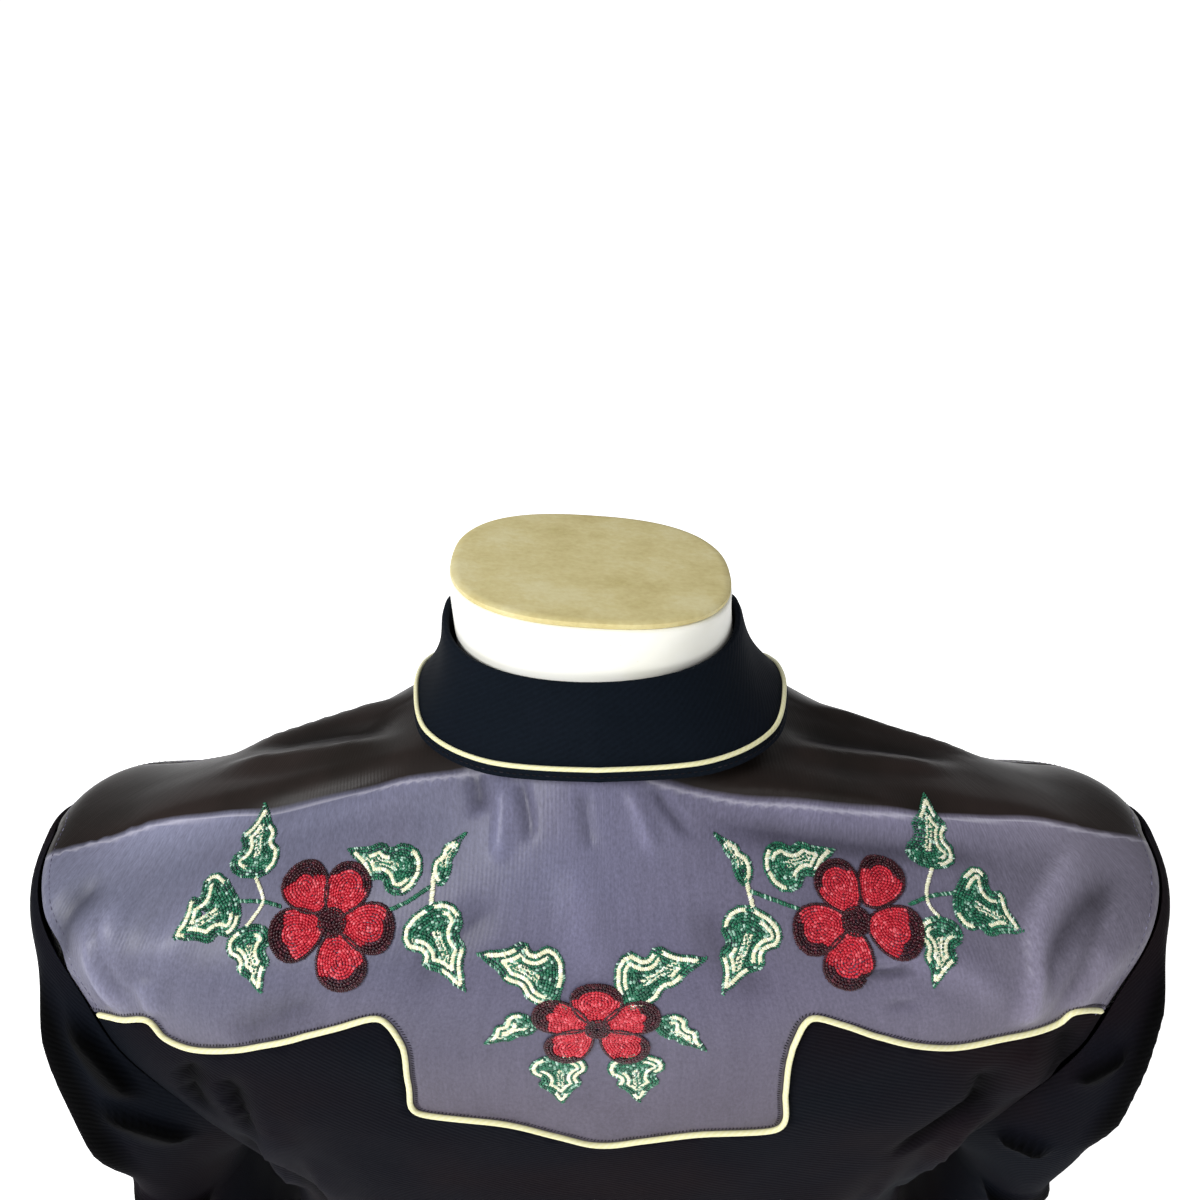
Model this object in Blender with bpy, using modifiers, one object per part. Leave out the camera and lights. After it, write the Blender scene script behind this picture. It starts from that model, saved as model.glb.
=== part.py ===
"""A western snap shirt worn by a limbless torso form that stands on its own flat base.

Metres, +Z up. The shirt's front faces -Y and its left sleeve is at +X. The origin is under the
middle of the form's base. Every cloth panel is cut out of one body surface, which is lofted through
a short table of rings and read by an angle (0 at the centre back, 90 at the left side, 180 at the
centre front) and a level (0 at the neck seam, 8 at the underarm, 13 at the hem).
"""

import math

import bmesh
import bpy
from mathutils import Matrix, Vector
from mathutils.geometry import delaunay_2d_cdt

# Driving sizes
TIP_HEIGHT = 0.760  # the shoulder tips above the surface that the form stands on
CLOTH_WALL = 0.0015
COLLAR_WALL = 0.0018
SEAM_GAP = 0.0007  # between two pieces that are sewn edge to edge
LAYER_GAP = 0.0008  # between a piece and the panel that it lies on
PIPING_RADIUS = 0.0012
PANEL_STEP = 0.030  # about the length of a facet's side on the body
SEAM_STEP = 0.022  # the same along a shaped seam
NOMINAL_RADIUS = 0.19  # turns an angle round the body into a length for cutting

# The body, ring by ring. Heights are above the shoulder tips. The angle between back and side
# takes the squareness of a superellipse, 2 for an ellipse.
# Columns: half_width, y_side, y_back, y_front, z_side, z_back, z_front, square_back, square_front
BODY_RINGS = (
    (0.068, -0.021, 0.044, -0.087, 0.052, 0.069, -0.008, 2.0, 2.0),  # 0 neck seam
    (0.105, -0.011, 0.067, -0.095, 0.034, 0.043, -0.058, 2.1, 2.0),
    (0.152, 0.001, 0.088, -0.100, 0.020, 0.018, -0.086, 2.3, 2.0),
    (0.198, 0.012, 0.101, -0.105, 0.009, -0.006, -0.104, 2.6, 2.1),
    (0.232, 0.020, 0.105, -0.109, 0.003, -0.032, -0.110, 2.8, 2.3),  # 4 shoulder tips
    (0.243, 0.023, 0.106, -0.111, -0.016, -0.060, -0.128, 2.8, 2.3),
    (0.243, 0.021, 0.106, -0.111, -0.050, -0.095, -0.148, 2.8, 2.3),
    (0.219, 0.013, 0.104, -0.110, -0.110, -0.140, -0.175, 2.6, 2.3),
    (0.174, 0.001, 0.101, -0.107, -0.200, -0.210, -0.220, 2.4, 2.3),  # 8 underarm
    (0.168, -0.005, 0.097, -0.099, -0.300, -0.300, -0.300, 2.4, 2.3),
    (0.168, -0.005, 0.095, -0.095, -0.400, -0.400, -0.400, 2.4, 2.3),  # 10 waist
    (0.176, -0.005, 0.097, -0.097, -0.500, -0.500, -0.500, 2.4, 2.3),
    (0.184, -0.005, 0.101, -0.101, -0.580, -0.600, -0.600, 2.4, 2.3),
    (0.186, -0.005, 0.102, -0.102, -0.640, -0.710, -0.710, 2.4, 2.3),  # 13 shirt-tail hem
)
# Soft folds in the body, each a ridge from one place to another
# Columns: angle_1, level_1, angle_2, level_2, half_width, height
BODY_FOLDS = (
    (22.0, 6.8, 34.0, 9.6, 0.022, 0.0050), (-24.0, 7.0, -30.0, 10.2, 0.024, 0.0050),
    (7.0, 8.6, 11.0, 12.6, 0.024, 0.0040), (-12.0, 9.4, -6.0, 13.0, 0.026, 0.0045),
    (78.0, 8.3, 60.0, 11.8, 0.024, 0.0050), (-80.0, 8.4, -64.0, 12.4, 0.026, 0.0050),
    (46.0, 9.8, 40.0, 13.0, 0.024, 0.0045), (-48.0, 10.4, -44.0, 13.0, 0.024, 0.0040),
    (112.0, 8.6, 134.0, 11.6, 0.024, 0.0050), (-110.0, 8.4, -136.0, 11.2, 0.024, 0.0050),
    (146.0, 7.4, 152.0, 10.6, 0.022, 0.0040), (-148.0, 7.8, -152.0, 11.4, 0.022, 0.0040),
    (128.0, 11.8, 132.0, 13.0, 0.022, 0.0040), (-124.0, 11.6, -122.0, 13.0, 0.022, 0.0040),
)
UNDERARM_LEVEL = 8.0
HEM_LEVEL = 13.0

# The armhole is a loop round the body's side, read by stations: 0 at the top, then down the back,
# half way round at the underarm, and up the front.
ARMHOLE_TOP_LEVEL = 4.1
ARMHOLE_OPENING = 35.0  # degrees to each side of the side seam where it is widest
ARMHOLE_STATIONS = 24
BACK_YOKE_STATION = 5
FRONT_YOKE_STATION = ARMHOLE_STATIONS - 6
SHOULDER_SEAM_STATION = ARMHOLE_STATIONS - 4
SHOULDER_SEAM_ANGLE = 112.0  # the yoke runs over the shoulder to a seam in front of it

# The yokes' lower edges, from the armhole towards the centre: distance from the centre line, and
# height above the shoulder tips. The back yoke hangs a little lower on the wearer's right.
# Columns: x_left, z_left, x_right, z_right
BACK_YOKE_EDGE = (
    (0.208, -0.0400, 0.208, -0.0360), (0.181, -0.0320, 0.192, -0.0300),
    (0.176, -0.0400, 0.186, -0.0350), (0.166, -0.0440, 0.160, -0.0370),
    (0.144, -0.0390, 0.138, -0.0370), (0.122, -0.0300, 0.110, -0.0270),
    (0.103, -0.0220, 0.095, -0.0195), (0.087, -0.0160, 0.083, -0.0150),
    (0.082, -0.0190, 0.079, -0.0180), (0.077, -0.0330, 0.075, -0.0360),
    (0.077, -0.0520, 0.075, -0.0580), (0.077, -0.0700, 0.076, -0.0810),
    (0.074, -0.0735, 0.073, -0.0850), (0.041, -0.0785, 0.042, -0.0870),
    (0.018, -0.0880, 0.018, -0.0920), (0.000, -0.0950, 0.000, -0.0950),
)
# Columns: distance from the centre line, height
FRONT_YOKE_EDGE = (
    (0.176, -0.088), (0.150, -0.098), (0.124, -0.116), (0.100, -0.140),
    (0.080, -0.122), (0.056, -0.104), (0.034, -0.096),
)
PLACKET_HALF_WIDTH = 0.0175
PLACKET_LEVELS = (0.04, 12.98)
PLACKET_STEPS = 40
PLACKET_LIFT = 0.0026  # between the middle surfaces of the placket and of the fronts
PIPING_START_SHARE = 0.02  # piping begins that share of a stretch in from the armhole
PLACKET_CLEARANCE = 2.0  # degrees that the front piping stops short of the placket

# The collar: the stand's foot sits inside the neck seam, and the leaf is drawn from the fold to
# its lower edge, whose last row is the collar point.
FOLD_RING = (0.0625, -0.028, 0.035, -0.092, 0.087, 0.097, 0.026, 2.0, 2.0)
FOLD_SHIFT = 0.0035  # the neck leans a little to the left
STAND_INSET = 0.0026
STAND_HEAD_INSET = 0.0018
# Columns: angle, x, y, height above the shoulder tips
LEAF_EDGE = (
    (0.0, 0.0000, 0.056, 0.0665), (30.0, 0.0430, 0.049, 0.0640),
    (60.0, 0.0720, 0.026, 0.0600), (90.0, 0.0815, -0.011, 0.0530),
    (120.0, 0.0800, -0.045, 0.0420), (145.0, 0.0750, -0.078, 0.0150),
    (172.0, 0.0620, -0.104, -0.0460),
)
LEAF_END_ANGLE = 172.0
LEAF_COLUMNS = 40
LEAF_ROWS = (0.03, 0.35, 0.7, 1.0)  # shares of the leaf's depth
STAND_ROWS = (0.0, 0.5, 1.0)
STAND_FACETS = 36
COLLAR_SNAP_SHARE = 0.45  # how far up the stand its snap is
LEAF_ROLL = 0.0020  # how far the leaf bows away from a straight line
COLLAR_PIPING_INSET = 0.13  # share of the leaf's depth between the piping and the leaf's edge
COLLAR_PIPING_END_INSET = 0.25  # of that, what is left at the collar points
COLLAR_PIPING_GAP = 0.0011

# The sleeves, ring by ring: blend is how far the ring has left the armhole's own shape.
# Columns: blend, x_out, z_out, x_in, z_in, y_back, y_front, square
SLEEVE_RINGS = (
    (0.00, 0.250, -0.010, 0.180, -0.205, 0.090, -0.070, 2.2),
    (0.30, 0.252, -0.012, 0.184, -0.206, 0.091, -0.077, 2.2),
    (0.60, 0.258, -0.040, 0.186, -0.212, 0.092, -0.083, 2.2),
    (0.85, 0.260, -0.078, 0.187, -0.224, 0.093, -0.089, 2.2),
    (1.00, 0.257, -0.118, 0.188, -0.240, 0.091, -0.093, 2.2),
    (1.00, 0.248, -0.160, 0.188, -0.260, 0.085, -0.097, 2.3),
    (1.00, 0.235, -0.208, 0.188, -0.285, 0.074, -0.101, 2.4),
    (1.00, 0.225, -0.260, 0.187, -0.315, 0.061, -0.105, 2.5),
    (1.00, 0.219, -0.315, 0.186, -0.350, 0.047, -0.108, 2.5),
    (1.00, 0.217, -0.370, 0.186, -0.390, 0.035, -0.110, 2.5),
    (1.00, 0.219, -0.425, 0.188, -0.435, 0.027, -0.110, 2.4),
    (1.00, 0.223, -0.480, 0.192, -0.485, 0.021, -0.107, 2.3),
    (1.00, 0.227, -0.530, 0.196, -0.530, 0.015, -0.103, 2.2),
    (1.00, 0.230, -0.566, 0.199, -0.566, 0.009, -0.098, 2.1),
    (1.00, 0.230, -0.580, 0.200, -0.580, 0.004, -0.094, 2.0),
)
# Soft folds in the sleeves: turns run from the outer side towards the back, rows as above
# Columns: turn_1, row_1, turn_2, row_2, half_width, height
SLEEVE_FOLDS = (
    (8.0, 4.6, 70.0, 6.6, 1.1, 0.0060), (-40.0, 5.6, 30.0, 7.8, 1.1, 0.0055),
    (50.0, 7.4, 110.0, 8.8, 0.9, 0.0055), (-20.0, 8.2, 60.0, 9.4, 0.9, 0.0050),
    (-70.0, 7.6, -10.0, 9.0, 0.9, 0.0050), (-30.0, 10.2, 50.0, 11.2, 0.8, 0.0040),
    (-75.0, 11.4, 20.0, 12.4, 0.8, 0.0035),
)
SLEEVE_INSET = 0.0027  # the sleeve head passes inside the armhole's edge
CUFF_DEPTH = 0.064
CUFF_WALL = 0.0020

SNAP_RADIUS = 0.0056
SNAP_DEPTH = 0.0030
SNAP_TOP = -0.050
SNAP_PITCH = 0.095
FRONT_SNAPS = 6
CUFF_SNAPS = 2

# The form: how far it stays inside the cloth's middle surface at each level of the body.
FORM_CLEARANCE = (
    (0.0, 0.0034), (3.0, 0.0036), (4.0, 0.0050), (8.0, 0.0075),
    (10.0, 0.0130), (12.0, 0.0110),
)
FORM_BASE = (0.158, 0.000, 0.077, -0.077, 0.0, 0.0, 0.0, 2.4, 2.4)
FORM_FACETS = 36
NECK_RINGS = (
    (0.0600, -0.023, 0.036, -0.082, 0.047, 0.062, -0.014, 2.0, 2.0),
    (0.0590, -0.024, 0.035, -0.083, 0.066, 0.079, 0.015, 2.0, 2.0),
    (0.0585, -0.027, 0.032, -0.087, 0.086, 0.094, 0.056, 2.0, 2.0),
)
NECK_SHIFTS = (0.000, 0.001, 0.003)
NECK_TOP_CENTRE = (0.0035, -0.032, 0.107)
NECK_TOP_HALF = (0.0585, 0.0600)
NECK_TOP_TILT = math.radians(12.5)  # the cut leans down towards the front
NECK_TOP_ROLL = math.radians(-4.0)  # and a little down towards the right
NECK_CAP_DEPTH = 0.0030

# Plain finishes: base colour, roughness, metallic
FINISHES = {
    "black_cloth": ((0.012, 0.013, 0.020), 0.75, 0.0),
    "grey_satin": ((0.150, 0.150, 0.200), 0.45, 0.0),
    "gold_piping": ((0.780, 0.720, 0.420), 0.55, 0.0),
    "pearl_snap": ((0.780, 0.760, 0.720), 0.25, 0.0),
    "form_shell": ((0.870, 0.860, 0.800), 0.40, 0.0),
    "form_cap": ((0.520, 0.460, 0.270), 0.80, 0.0),
}


def clear_scene():
    for obj in list(bpy.data.objects):
        bpy.data.objects.remove(obj)


def finish(name):
    """The plain material of that name, made on first use."""
    found = bpy.data.materials.get(name)
    if found:
        return found
    colour, roughness, metallic = FINISHES[name]
    material = bpy.data.materials.new(name)
    material.use_nodes = True
    shader = material.node_tree.nodes["Principled BSDF"]
    shader.inputs["Base Color"].default_value = (*colour, 1.0)
    shader.inputs["Roughness"].default_value = roughness
    shader.inputs["Metallic"].default_value = metallic
    material.diffuse_color = (*colour, 1.0)
    return material


# The body surface


def between_rows(rows, place):
    """Values at a place along a table's rows, on a smooth curve through them."""
    last = len(rows) - 1
    index = min(max(int(math.floor(place)), 0), last - 1)
    t = place - index
    before, here = rows[max(index - 1, 0)], rows[index]
    after, beyond = rows[index + 1], rows[min(index + 2, last)]
    return [
        0.5 * (2 * b + (c - a) * t + (2 * a - 5 * b + 4 * c - d) * t**2 + (3 * b - a - 3 * c + d) * t**3)
        for a, b, c, d in zip(before, here, after, beyond)
    ]


def power(value, exponent):
    return math.copysign(abs(value) ** exponent, value)


def ring_point(ring, angle):
    """A point on one ring, at an angle in degrees from the centre back."""
    half_width, y_side, y_back, y_front, z_side, z_back, z_front, square_back, square_front = ring
    sine, cosine = math.sin(math.radians(angle)), math.cos(math.radians(angle))
    square = square_back if cosine >= 0 else square_front
    y_far, z_far = (y_back, z_back) if cosine >= 0 else (y_front, z_front)
    return Vector((
        half_width * power(sine, 2 / square),
        y_side + (y_far - y_side) * abs(cosine) ** (2 / square),
        TIP_HEIGHT + z_side + (z_far - z_side) * cosine**2,
    ))


def bump(offset, half_width):
    """A smooth hump that is 1 at no offset and 0 from half_width on."""
    share = min(abs(offset) / half_width, 1.0)
    return (1.0 - share * share) ** 2


def fold_height(place):
    """How far the body's folds lift a place off the plain surface."""
    angle, level = place
    total = 0.0
    for angle_1, level_1, angle_2, level_2, half_width, height in BODY_FOLDS:
        share = (level - level_1) / (level_2 - level_1)
        middle = angle_1 + (angle_2 - angle_1) * min(max(share, 0.0), 1.0)
        aside = math.radians((angle - middle + 180.0) % 360.0 - 180.0) * NOMINAL_RADIUS
        if level_2 == HEM_LEVEL:
            along = 1.0 if share >= 0.6 else bump(share - 0.6, 0.8)
        else:
            along = bump(share - 0.5, 0.75)
        total += height * along * bump(aside, half_width * 1.6)
    return total


def plain_point(place):
    """The point of the unfolded body surface at a place (angle, level)."""
    angle, level = place
    return ring_point(between_rows(BODY_RINGS, level), angle)


def body_normal(place):
    angle, level = place
    step = 0.02
    low, high = max(level - step, 0.0), min(level + step, HEM_LEVEL)
    round_it = plain_point((angle + 1.0, level)) - plain_point((angle - 1.0, level))
    down_it = plain_point((angle, high)) - plain_point((angle, low))
    return round_it.cross(down_it).normalized()


def body_point(place, lift=0.0):
    """The point of the cloth's middle surface at a place, moved outwards by lift."""
    return plain_point(place) + body_normal(place) * (fold_height(place) + lift)


def place_on_body(across, height, front=False):
    """The (angle, level) whose point is that far from the centre line and that high above the tips."""
    level = 5.0
    angle = 0.0
    for _ in range(12):
        ring = between_rows(BODY_RINGS, level)
        square = ring[8] if front else ring[7]
        share = min(abs(across) / ring[0], 1.0) ** (square / 2)
        angle = math.degrees(math.asin(share))
        low, high = 0.0, HEM_LEVEL
        for _ in range(40):
            level = (low + high) / 2
            turned = 180.0 - angle if front else angle
            if plain_point((turned, level)).z - TIP_HEIGHT > height:
                low = level
            else:
                high = level
    return (math.copysign(180.0 - angle if front else angle, across), level)


# Outlines, as lists of places


def armhole_place(station, side):
    """The place of one armhole station on the left (side 1) or the right (side -1)."""
    turn = 2 * math.pi * station / ARMHOLE_STATIONS
    share = (1 - math.cos(turn)) / 2
    width = ARMHOLE_OPENING * max(math.sin(math.pi * share**1.4), 0.0) ** 0.75
    angle = 90.0 - math.copysign(width, math.sin(turn))
    return (side * angle, ARMHOLE_TOP_LEVEL + (UNDERARM_LEVEL - ARMHOLE_TOP_LEVEL) * share)


def armhole_run(first, last, side):
    """The armhole's places from one station to another, stepping up or down, over the top if need be."""
    step = 1 if last > first else -1
    return [armhole_place(k % ARMHOLE_STATIONS, side) for k in range(first, last + step, step)]


def straight_run(start, end, steps):
    return [
        (start[0] + (end[0] - start[0]) * k / steps, start[1] + (end[1] - start[1]) * k / steps)
        for k in range(steps + 1)
    ]


def even_run(corners, step):
    """The same line with extra places, so that no stretch is longer than step on the body."""
    places = [corners[0]]
    for start, end in zip(corners, corners[1:]):
        length = (body_point(end) - body_point(start)).length
        places += straight_run(start, end, max(1, math.ceil(length / step)))[1:]
    return places


def back_yoke_run():
    """The back yoke's lower edge from the left armhole to the right one."""
    left = [place_on_body(row[0], row[1]) for row in BACK_YOKE_EDGE]
    right = [place_on_body(-row[2], row[3]) for row in BACK_YOKE_EDGE[:-1]]
    ends = [armhole_place(BACK_YOKE_STATION, side) for side in (1, -1)]
    return even_run([ends[0]] + left + right[::-1] + [ends[1]], SEAM_STEP)


def front_edge_place(level):
    """Where the fronts meet under the placket's left edge, at a level."""
    half_width, square = (between_rows(BODY_RINGS, level)[k] for k in (0, 8))
    share = (PLACKET_HALF_WIDTH / half_width) ** (square / 2)
    return (180.0 - math.degrees(math.asin(share)), level)


def front_yoke_run(side):
    """A front yoke's lower edge, from the armhole to where the fronts meet."""
    corners = [armhole_place(FRONT_YOKE_STATION, side)]
    corners += [place_on_body(side * x, z, front=True) for x, z in FRONT_YOKE_EDGE]
    end = front_edge_place(corners[-1][1] - 0.15)
    if side < 0:
        corners = [(angle % 360.0, level) for angle, level in corners]
    return even_run(corners + [end], SEAM_STEP)


def neck_run(first, last):
    return straight_run((first, 0.0), (last, 0.0), max(2, round(abs(last - first) / 10.0)))


def shoulder_seam_run(side):
    start = (side * SHOULDER_SEAM_ANGLE, 0.0)
    return even_run([start, armhole_place(SHOULDER_SEAM_STATION, side)], PANEL_STEP)


def side_seam_run(side):
    return even_run([(side * 90.0, UNDERARM_LEVEL), (side * 90.0, HEM_LEVEL)], PANEL_STEP)


def hem_run(first, last):
    return straight_run((first, HEM_LEVEL), (last, HEM_LEVEL), max(2, round(abs(last - first) / 10.0)))


def front_edge_run(first_level, last_level):
    steps = max(2, math.ceil((last_level - first_level) / 0.3))
    levels = [first_level + (last_level - first_level) * k / steps for k in range(steps + 1)]
    return [front_edge_place(level) for level in levels]


def whole_turn(run, side):
    """The right side's places counted on from the front, so that an outline never jumps 360 degrees."""
    return run if side > 0 else [(angle % 360.0, level) for angle, level in run]


# Solids


def new_object(name, mesh, finish_name):
    mesh.materials.append(finish(finish_name))
    obj = bpy.data.objects.new(name, mesh)
    parts.objects.link(obj)
    return obj


def wall(name, points, faces, thickness, finish_name):
    """A sheet of cloth: an open surface whose wall grows half to each side."""
    mesh = bpy.data.meshes.new(name)
    mesh.from_pydata(points, [], faces)
    mesh.shade_smooth()
    obj = new_object(name, mesh, finish_name)
    solidify = obj.modifiers.new("wall", "SOLIDIFY")
    solidify.thickness = thickness
    solidify.offset = 0.0
    solidify.use_even_offset = True
    return obj


LEVEL_LENGTHS = [0.0]
for upper, lower in zip(BODY_RINGS, BODY_RINGS[1:]):
    along_side = (ring_point(upper, 60.0) - ring_point(lower, 60.0)).length
    LEVEL_LENGTHS.append(LEVEL_LENGTHS[-1] + along_side)


def flat_point(place):
    """A place laid out flat for cutting: length round the body, and length down it."""
    angle, level = place
    index = min(int(level), len(LEVEL_LENGTHS) - 2)
    down = LEVEL_LENGTHS[index] + (level - index) * (LEVEL_LENGTHS[index + 1] - LEVEL_LENGTHS[index])
    return Vector((math.radians(angle) * NOMINAL_RADIUS, -down))


def place_of_flat(point):
    down = -point.y
    index = max(k for k in range(len(LEVEL_LENGTHS) - 1) if LEVEL_LENGTHS[k] <= down + 1e-9)
    level = index + (down - LEVEL_LENGTHS[index]) / (LEVEL_LENGTHS[index + 1] - LEVEL_LENGTHS[index])
    return (math.degrees(point.x / NOMINAL_RADIUS), level)


def inside(point, outline):
    """Whether a flat point is inside a flat outline."""
    hits = 0
    for start, end in zip(outline, outline[1:] + outline[:1]):
        if (start.y > point.y) != (end.y > point.y):
            reach = start.x + (point.y - start.y) * (end.x - start.x) / (end.y - start.y)
            hits += point.x < reach
    return hits % 2 == 1


def distance_to(point, outline):
    nearest = 1.0
    for start, end in zip(outline, outline[1:] + outline[:1]):
        along = end - start
        t = min(max((point - start).dot(along) / along.length_squared, 0.0), 1.0)
        nearest = min(nearest, (start + along * t - point).length)
    return nearest


def grid_inside(outline, step):
    """Flat points on a staggered grid that stay well inside an outline."""
    left, right = min(p.x for p in outline), max(p.x for p in outline)
    low, high = min(p.y for p in outline), max(p.y for p in outline)
    row_step = step * 0.87
    found = []
    for row in range(int((high - low) / row_step) + 1):
        y = high - row_step * (row + 0.5)
        shift = step / 2 if row % 2 else 0.0
        for column in range(int((right - left) / step) + 2):
            point = Vector((left + shift + step * column, y))
            if inside(point, outline) and distance_to(point, outline) > step * 0.45:
                found.append(point)
    return found


def inset_edge(points, faces, distance):
    """Moves the boundary of an open surface inwards, along the surface, by a distance."""
    mesh = bmesh.new()
    vertices = [mesh.verts.new(p) for p in points]
    for face in faces:
        mesh.faces.new([vertices[k] for k in face])
    mesh.normal_update()
    moves = {}
    for edge in mesh.edges:
        if not edge.is_boundary:
            continue
        face = edge.link_faces[0]
        along = (edge.verts[1].co - edge.verts[0].co).normalized()
        inward = face.normal.cross(along)
        if inward.dot(face.calc_center_median() - edge.verts[0].co) < 0:
            inward.negate()
        for vertex in edge.verts:
            moves.setdefault(vertex, []).append(inward)
    for vertex, directions in moves.items():
        mean = sum(directions, Vector()).normalized()
        vertex.co += mean * distance / max(mean.dot(directions[0]), 0.4)
    moved = [vertex.co.copy() for vertex in vertices]
    mesh.free()
    return moved


def panel(name, outline, finish_name, step=PANEL_STEP):
    """A cloth panel cut out of the body surface along an outline of places."""
    edge = [flat_point(place) for place in outline]
    count = len(edge)
    flat, _, faces, *_ = delaunay_2d_cdt(
        edge + grid_inside(edge, step), [], [list(range(count))], 1, 1e-7
    )
    points = [body_point(place_of_flat(point)) for point in flat]
    facing = [face if outward(points, flat, face) else tuple(reversed(face)) for face in faces]
    return wall(name, inset_edge(points, facing, SEAM_GAP / 2), facing, CLOTH_WALL, finish_name)


def outward(points, flat, face):
    """Whether a triangle's corners turn so that it faces out of the body."""
    a, b, c = (points[k] for k in face)
    middle = (flat[face[0]] + flat[face[1]] + flat[face[2]]) / 3
    return (b - a).cross(c - a).dot(body_normal(place_of_flat(middle))) > 0


def strip_faces(rows, columns, closed):
    """Quads over a grid of points, whose columns close into a ring if asked."""
    faces = []
    for row in range(rows - 1):
        for column in range(columns if closed else columns - 1):
            nxt = (column + 1) % columns
            faces.append((
                row * columns + column, row * columns + nxt,
                (row + 1) * columns + nxt, (row + 1) * columns + column,
            ))
    return faces


def strip(name, grid, thickness, finish_name, closed=False, flip=False):
    """A cloth wall over a grid of points, given as rows."""
    points = [point for row in grid for point in row]
    faces = strip_faces(len(grid), len(grid[0]), closed)
    if flip:
        faces = [tuple(reversed(face)) for face in faces]
    return wall(name, points, faces, thickness, finish_name)


def tube(name, points, radius, finish_name):
    """Piping: a round tube along a run of points, with filled ends."""
    curve = bpy.data.curves.new(name, "CURVE")
    curve.dimensions = "3D"
    curve.bevel_depth = radius
    curve.bevel_resolution = 1
    curve.use_fill_caps = True
    curve.twist_mode = "MINIMUM"
    spline = curve.splines.new("POLY")
    spline.points.add(len(points) - 1)
    for spot, point in zip(spline.points, points):
        spot.co = (*point, 1.0)
    curve.materials.append(finish(finish_name))
    obj = bpy.data.objects.new(name, curve)
    parts.objects.link(obj)
    return obj


def snap(name, point, normal):
    """A snap's cap: a short bevelled disc that faces along normal."""
    bpy.ops.mesh.primitive_cylinder_add(vertices=16, radius=SNAP_RADIUS, depth=SNAP_DEPTH)
    obj = bpy.context.object
    obj.name = obj.data.name = name
    for collection in list(obj.users_collection):
        collection.objects.unlink(obj)
    parts.objects.link(obj)
    obj.data.materials.append(finish("pearl_snap"))
    obj.location = point + normal * (SNAP_DEPTH / 2)
    obj.rotation_euler = normal.to_track_quat("Z", "Y").to_euler()
    bevel = obj.modifiers.new("rounded", "BEVEL")
    bevel.width = 0.0008
    bevel.segments = 1
    bevel.limit_method = "ANGLE"
    obj.data.shade_smooth()
    return obj


# The pieces


def make_body_panels():
    yoke_edge = back_yoke_run()
    neck = neck_run(-SHOULDER_SEAM_ANGLE, SHOULDER_SEAM_ANGLE)
    over = SHOULDER_SEAM_STATION - ARMHOLE_STATIONS
    outline = (
        neck
        + shoulder_seam_run(1)[1:]
        + armhole_run(over, BACK_YOKE_STATION, 1)[1:]
        + yoke_edge[1:]
        + armhole_run(BACK_YOKE_STATION, over, -1)[1:]
        + shoulder_seam_run(-1)[::-1][1:-1]
    )
    panel("back_yoke", outline, "grey_satin")

    underarm = ARMHOLE_STATIONS // 2
    outline = (
        yoke_edge[::-1]
        + armhole_run(BACK_YOKE_STATION, underarm, 1)[1:]
        + side_seam_run(1)[1:]
        + hem_run(90.0, -90.0)[1:]
        + side_seam_run(-1)[::-1][1:]
        + armhole_run(underarm, BACK_YOKE_STATION, -1)[1:-1]
    )
    panel("back_panel", outline, "black_cloth")

    for side, word in ((1, "left"), (-1, "right")):
        edge = front_yoke_run(side)
        meeting = edge[-1][1]
        seam_angle = SHOULDER_SEAM_ANGLE if side > 0 else 360.0 - SHOULDER_SEAM_ANGLE
        outline = (
            neck_run(seam_angle, front_edge_place(0.0)[0])
            + front_edge_run(0.0, meeting)[1:]
            + edge[::-1][1:]
            + whole_turn(armhole_run(FRONT_YOKE_STATION, SHOULDER_SEAM_STATION, side), side)[1:]
            + whole_turn(shoulder_seam_run(side), side)[::-1][1:-1]
        )
        panel(f"front_yoke_{word}", outline, "grey_satin")
        outline = (
            edge
            + front_edge_run(meeting, HEM_LEVEL)[1:]
            + hem_run(front_edge_place(HEM_LEVEL)[0], 90.0 if side > 0 else 270.0)[1:]
            + whole_turn(side_seam_run(side), side)[::-1][1:]
            + whole_turn(armhole_run(underarm, FRONT_YOKE_STATION, side), side)[1:-1]
        )
        panel(f"front_{word}", outline, "black_cloth")


def placket_place(level, share):
    """A place on the placket: share runs from -1 at its right edge to 1 at its left one."""
    angle, _ = front_edge_place(level)
    return (180.0 - (180.0 - angle) * share, level)


def make_placket():
    first, last = PLACKET_LEVELS
    rows = []
    for k in range(PLACKET_STEPS + 1):
        level = first + (last - first) * k / PLACKET_STEPS
        rows.append([body_point(placket_place(level, share), PLACKET_LIFT) for share in (-1, 0, 1)])
    strip("placket", rows, CLOTH_WALL, "black_cloth", flip=True)
    top = PLACKET_LIFT + CLOTH_WALL / 2 + LAYER_GAP
    for k in range(FRONT_SNAPS):
        _, level = place_on_body(0.0, SNAP_TOP - SNAP_PITCH * k, front=True)
        place = (180.0, level)
        snap(f"snap_front_{k + 1}", body_point(place, top), body_normal(place))


def fold_point(angle):
    return ring_point(FOLD_RING, angle) + Vector((FOLD_SHIFT, 0.0, 0.0))


def stand_point(angle, share):
    """A point on the collar stand, from its foot inside the neck seam up to the fold."""
    foot = body_point((angle, 0.0))
    axis = Vector((0.0, BODY_RINGS[0][1], foot.z))
    foot += (axis - foot).normalized() * STAND_INSET
    head = fold_point(angle)
    axis = Vector((0.0, FOLD_RING[1], head.z))
    head += (axis - head).normalized() * STAND_HEAD_INSET
    head.z -= COLLAR_WALL / 2 + LAYER_GAP
    return foot.lerp(head, share)


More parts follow.
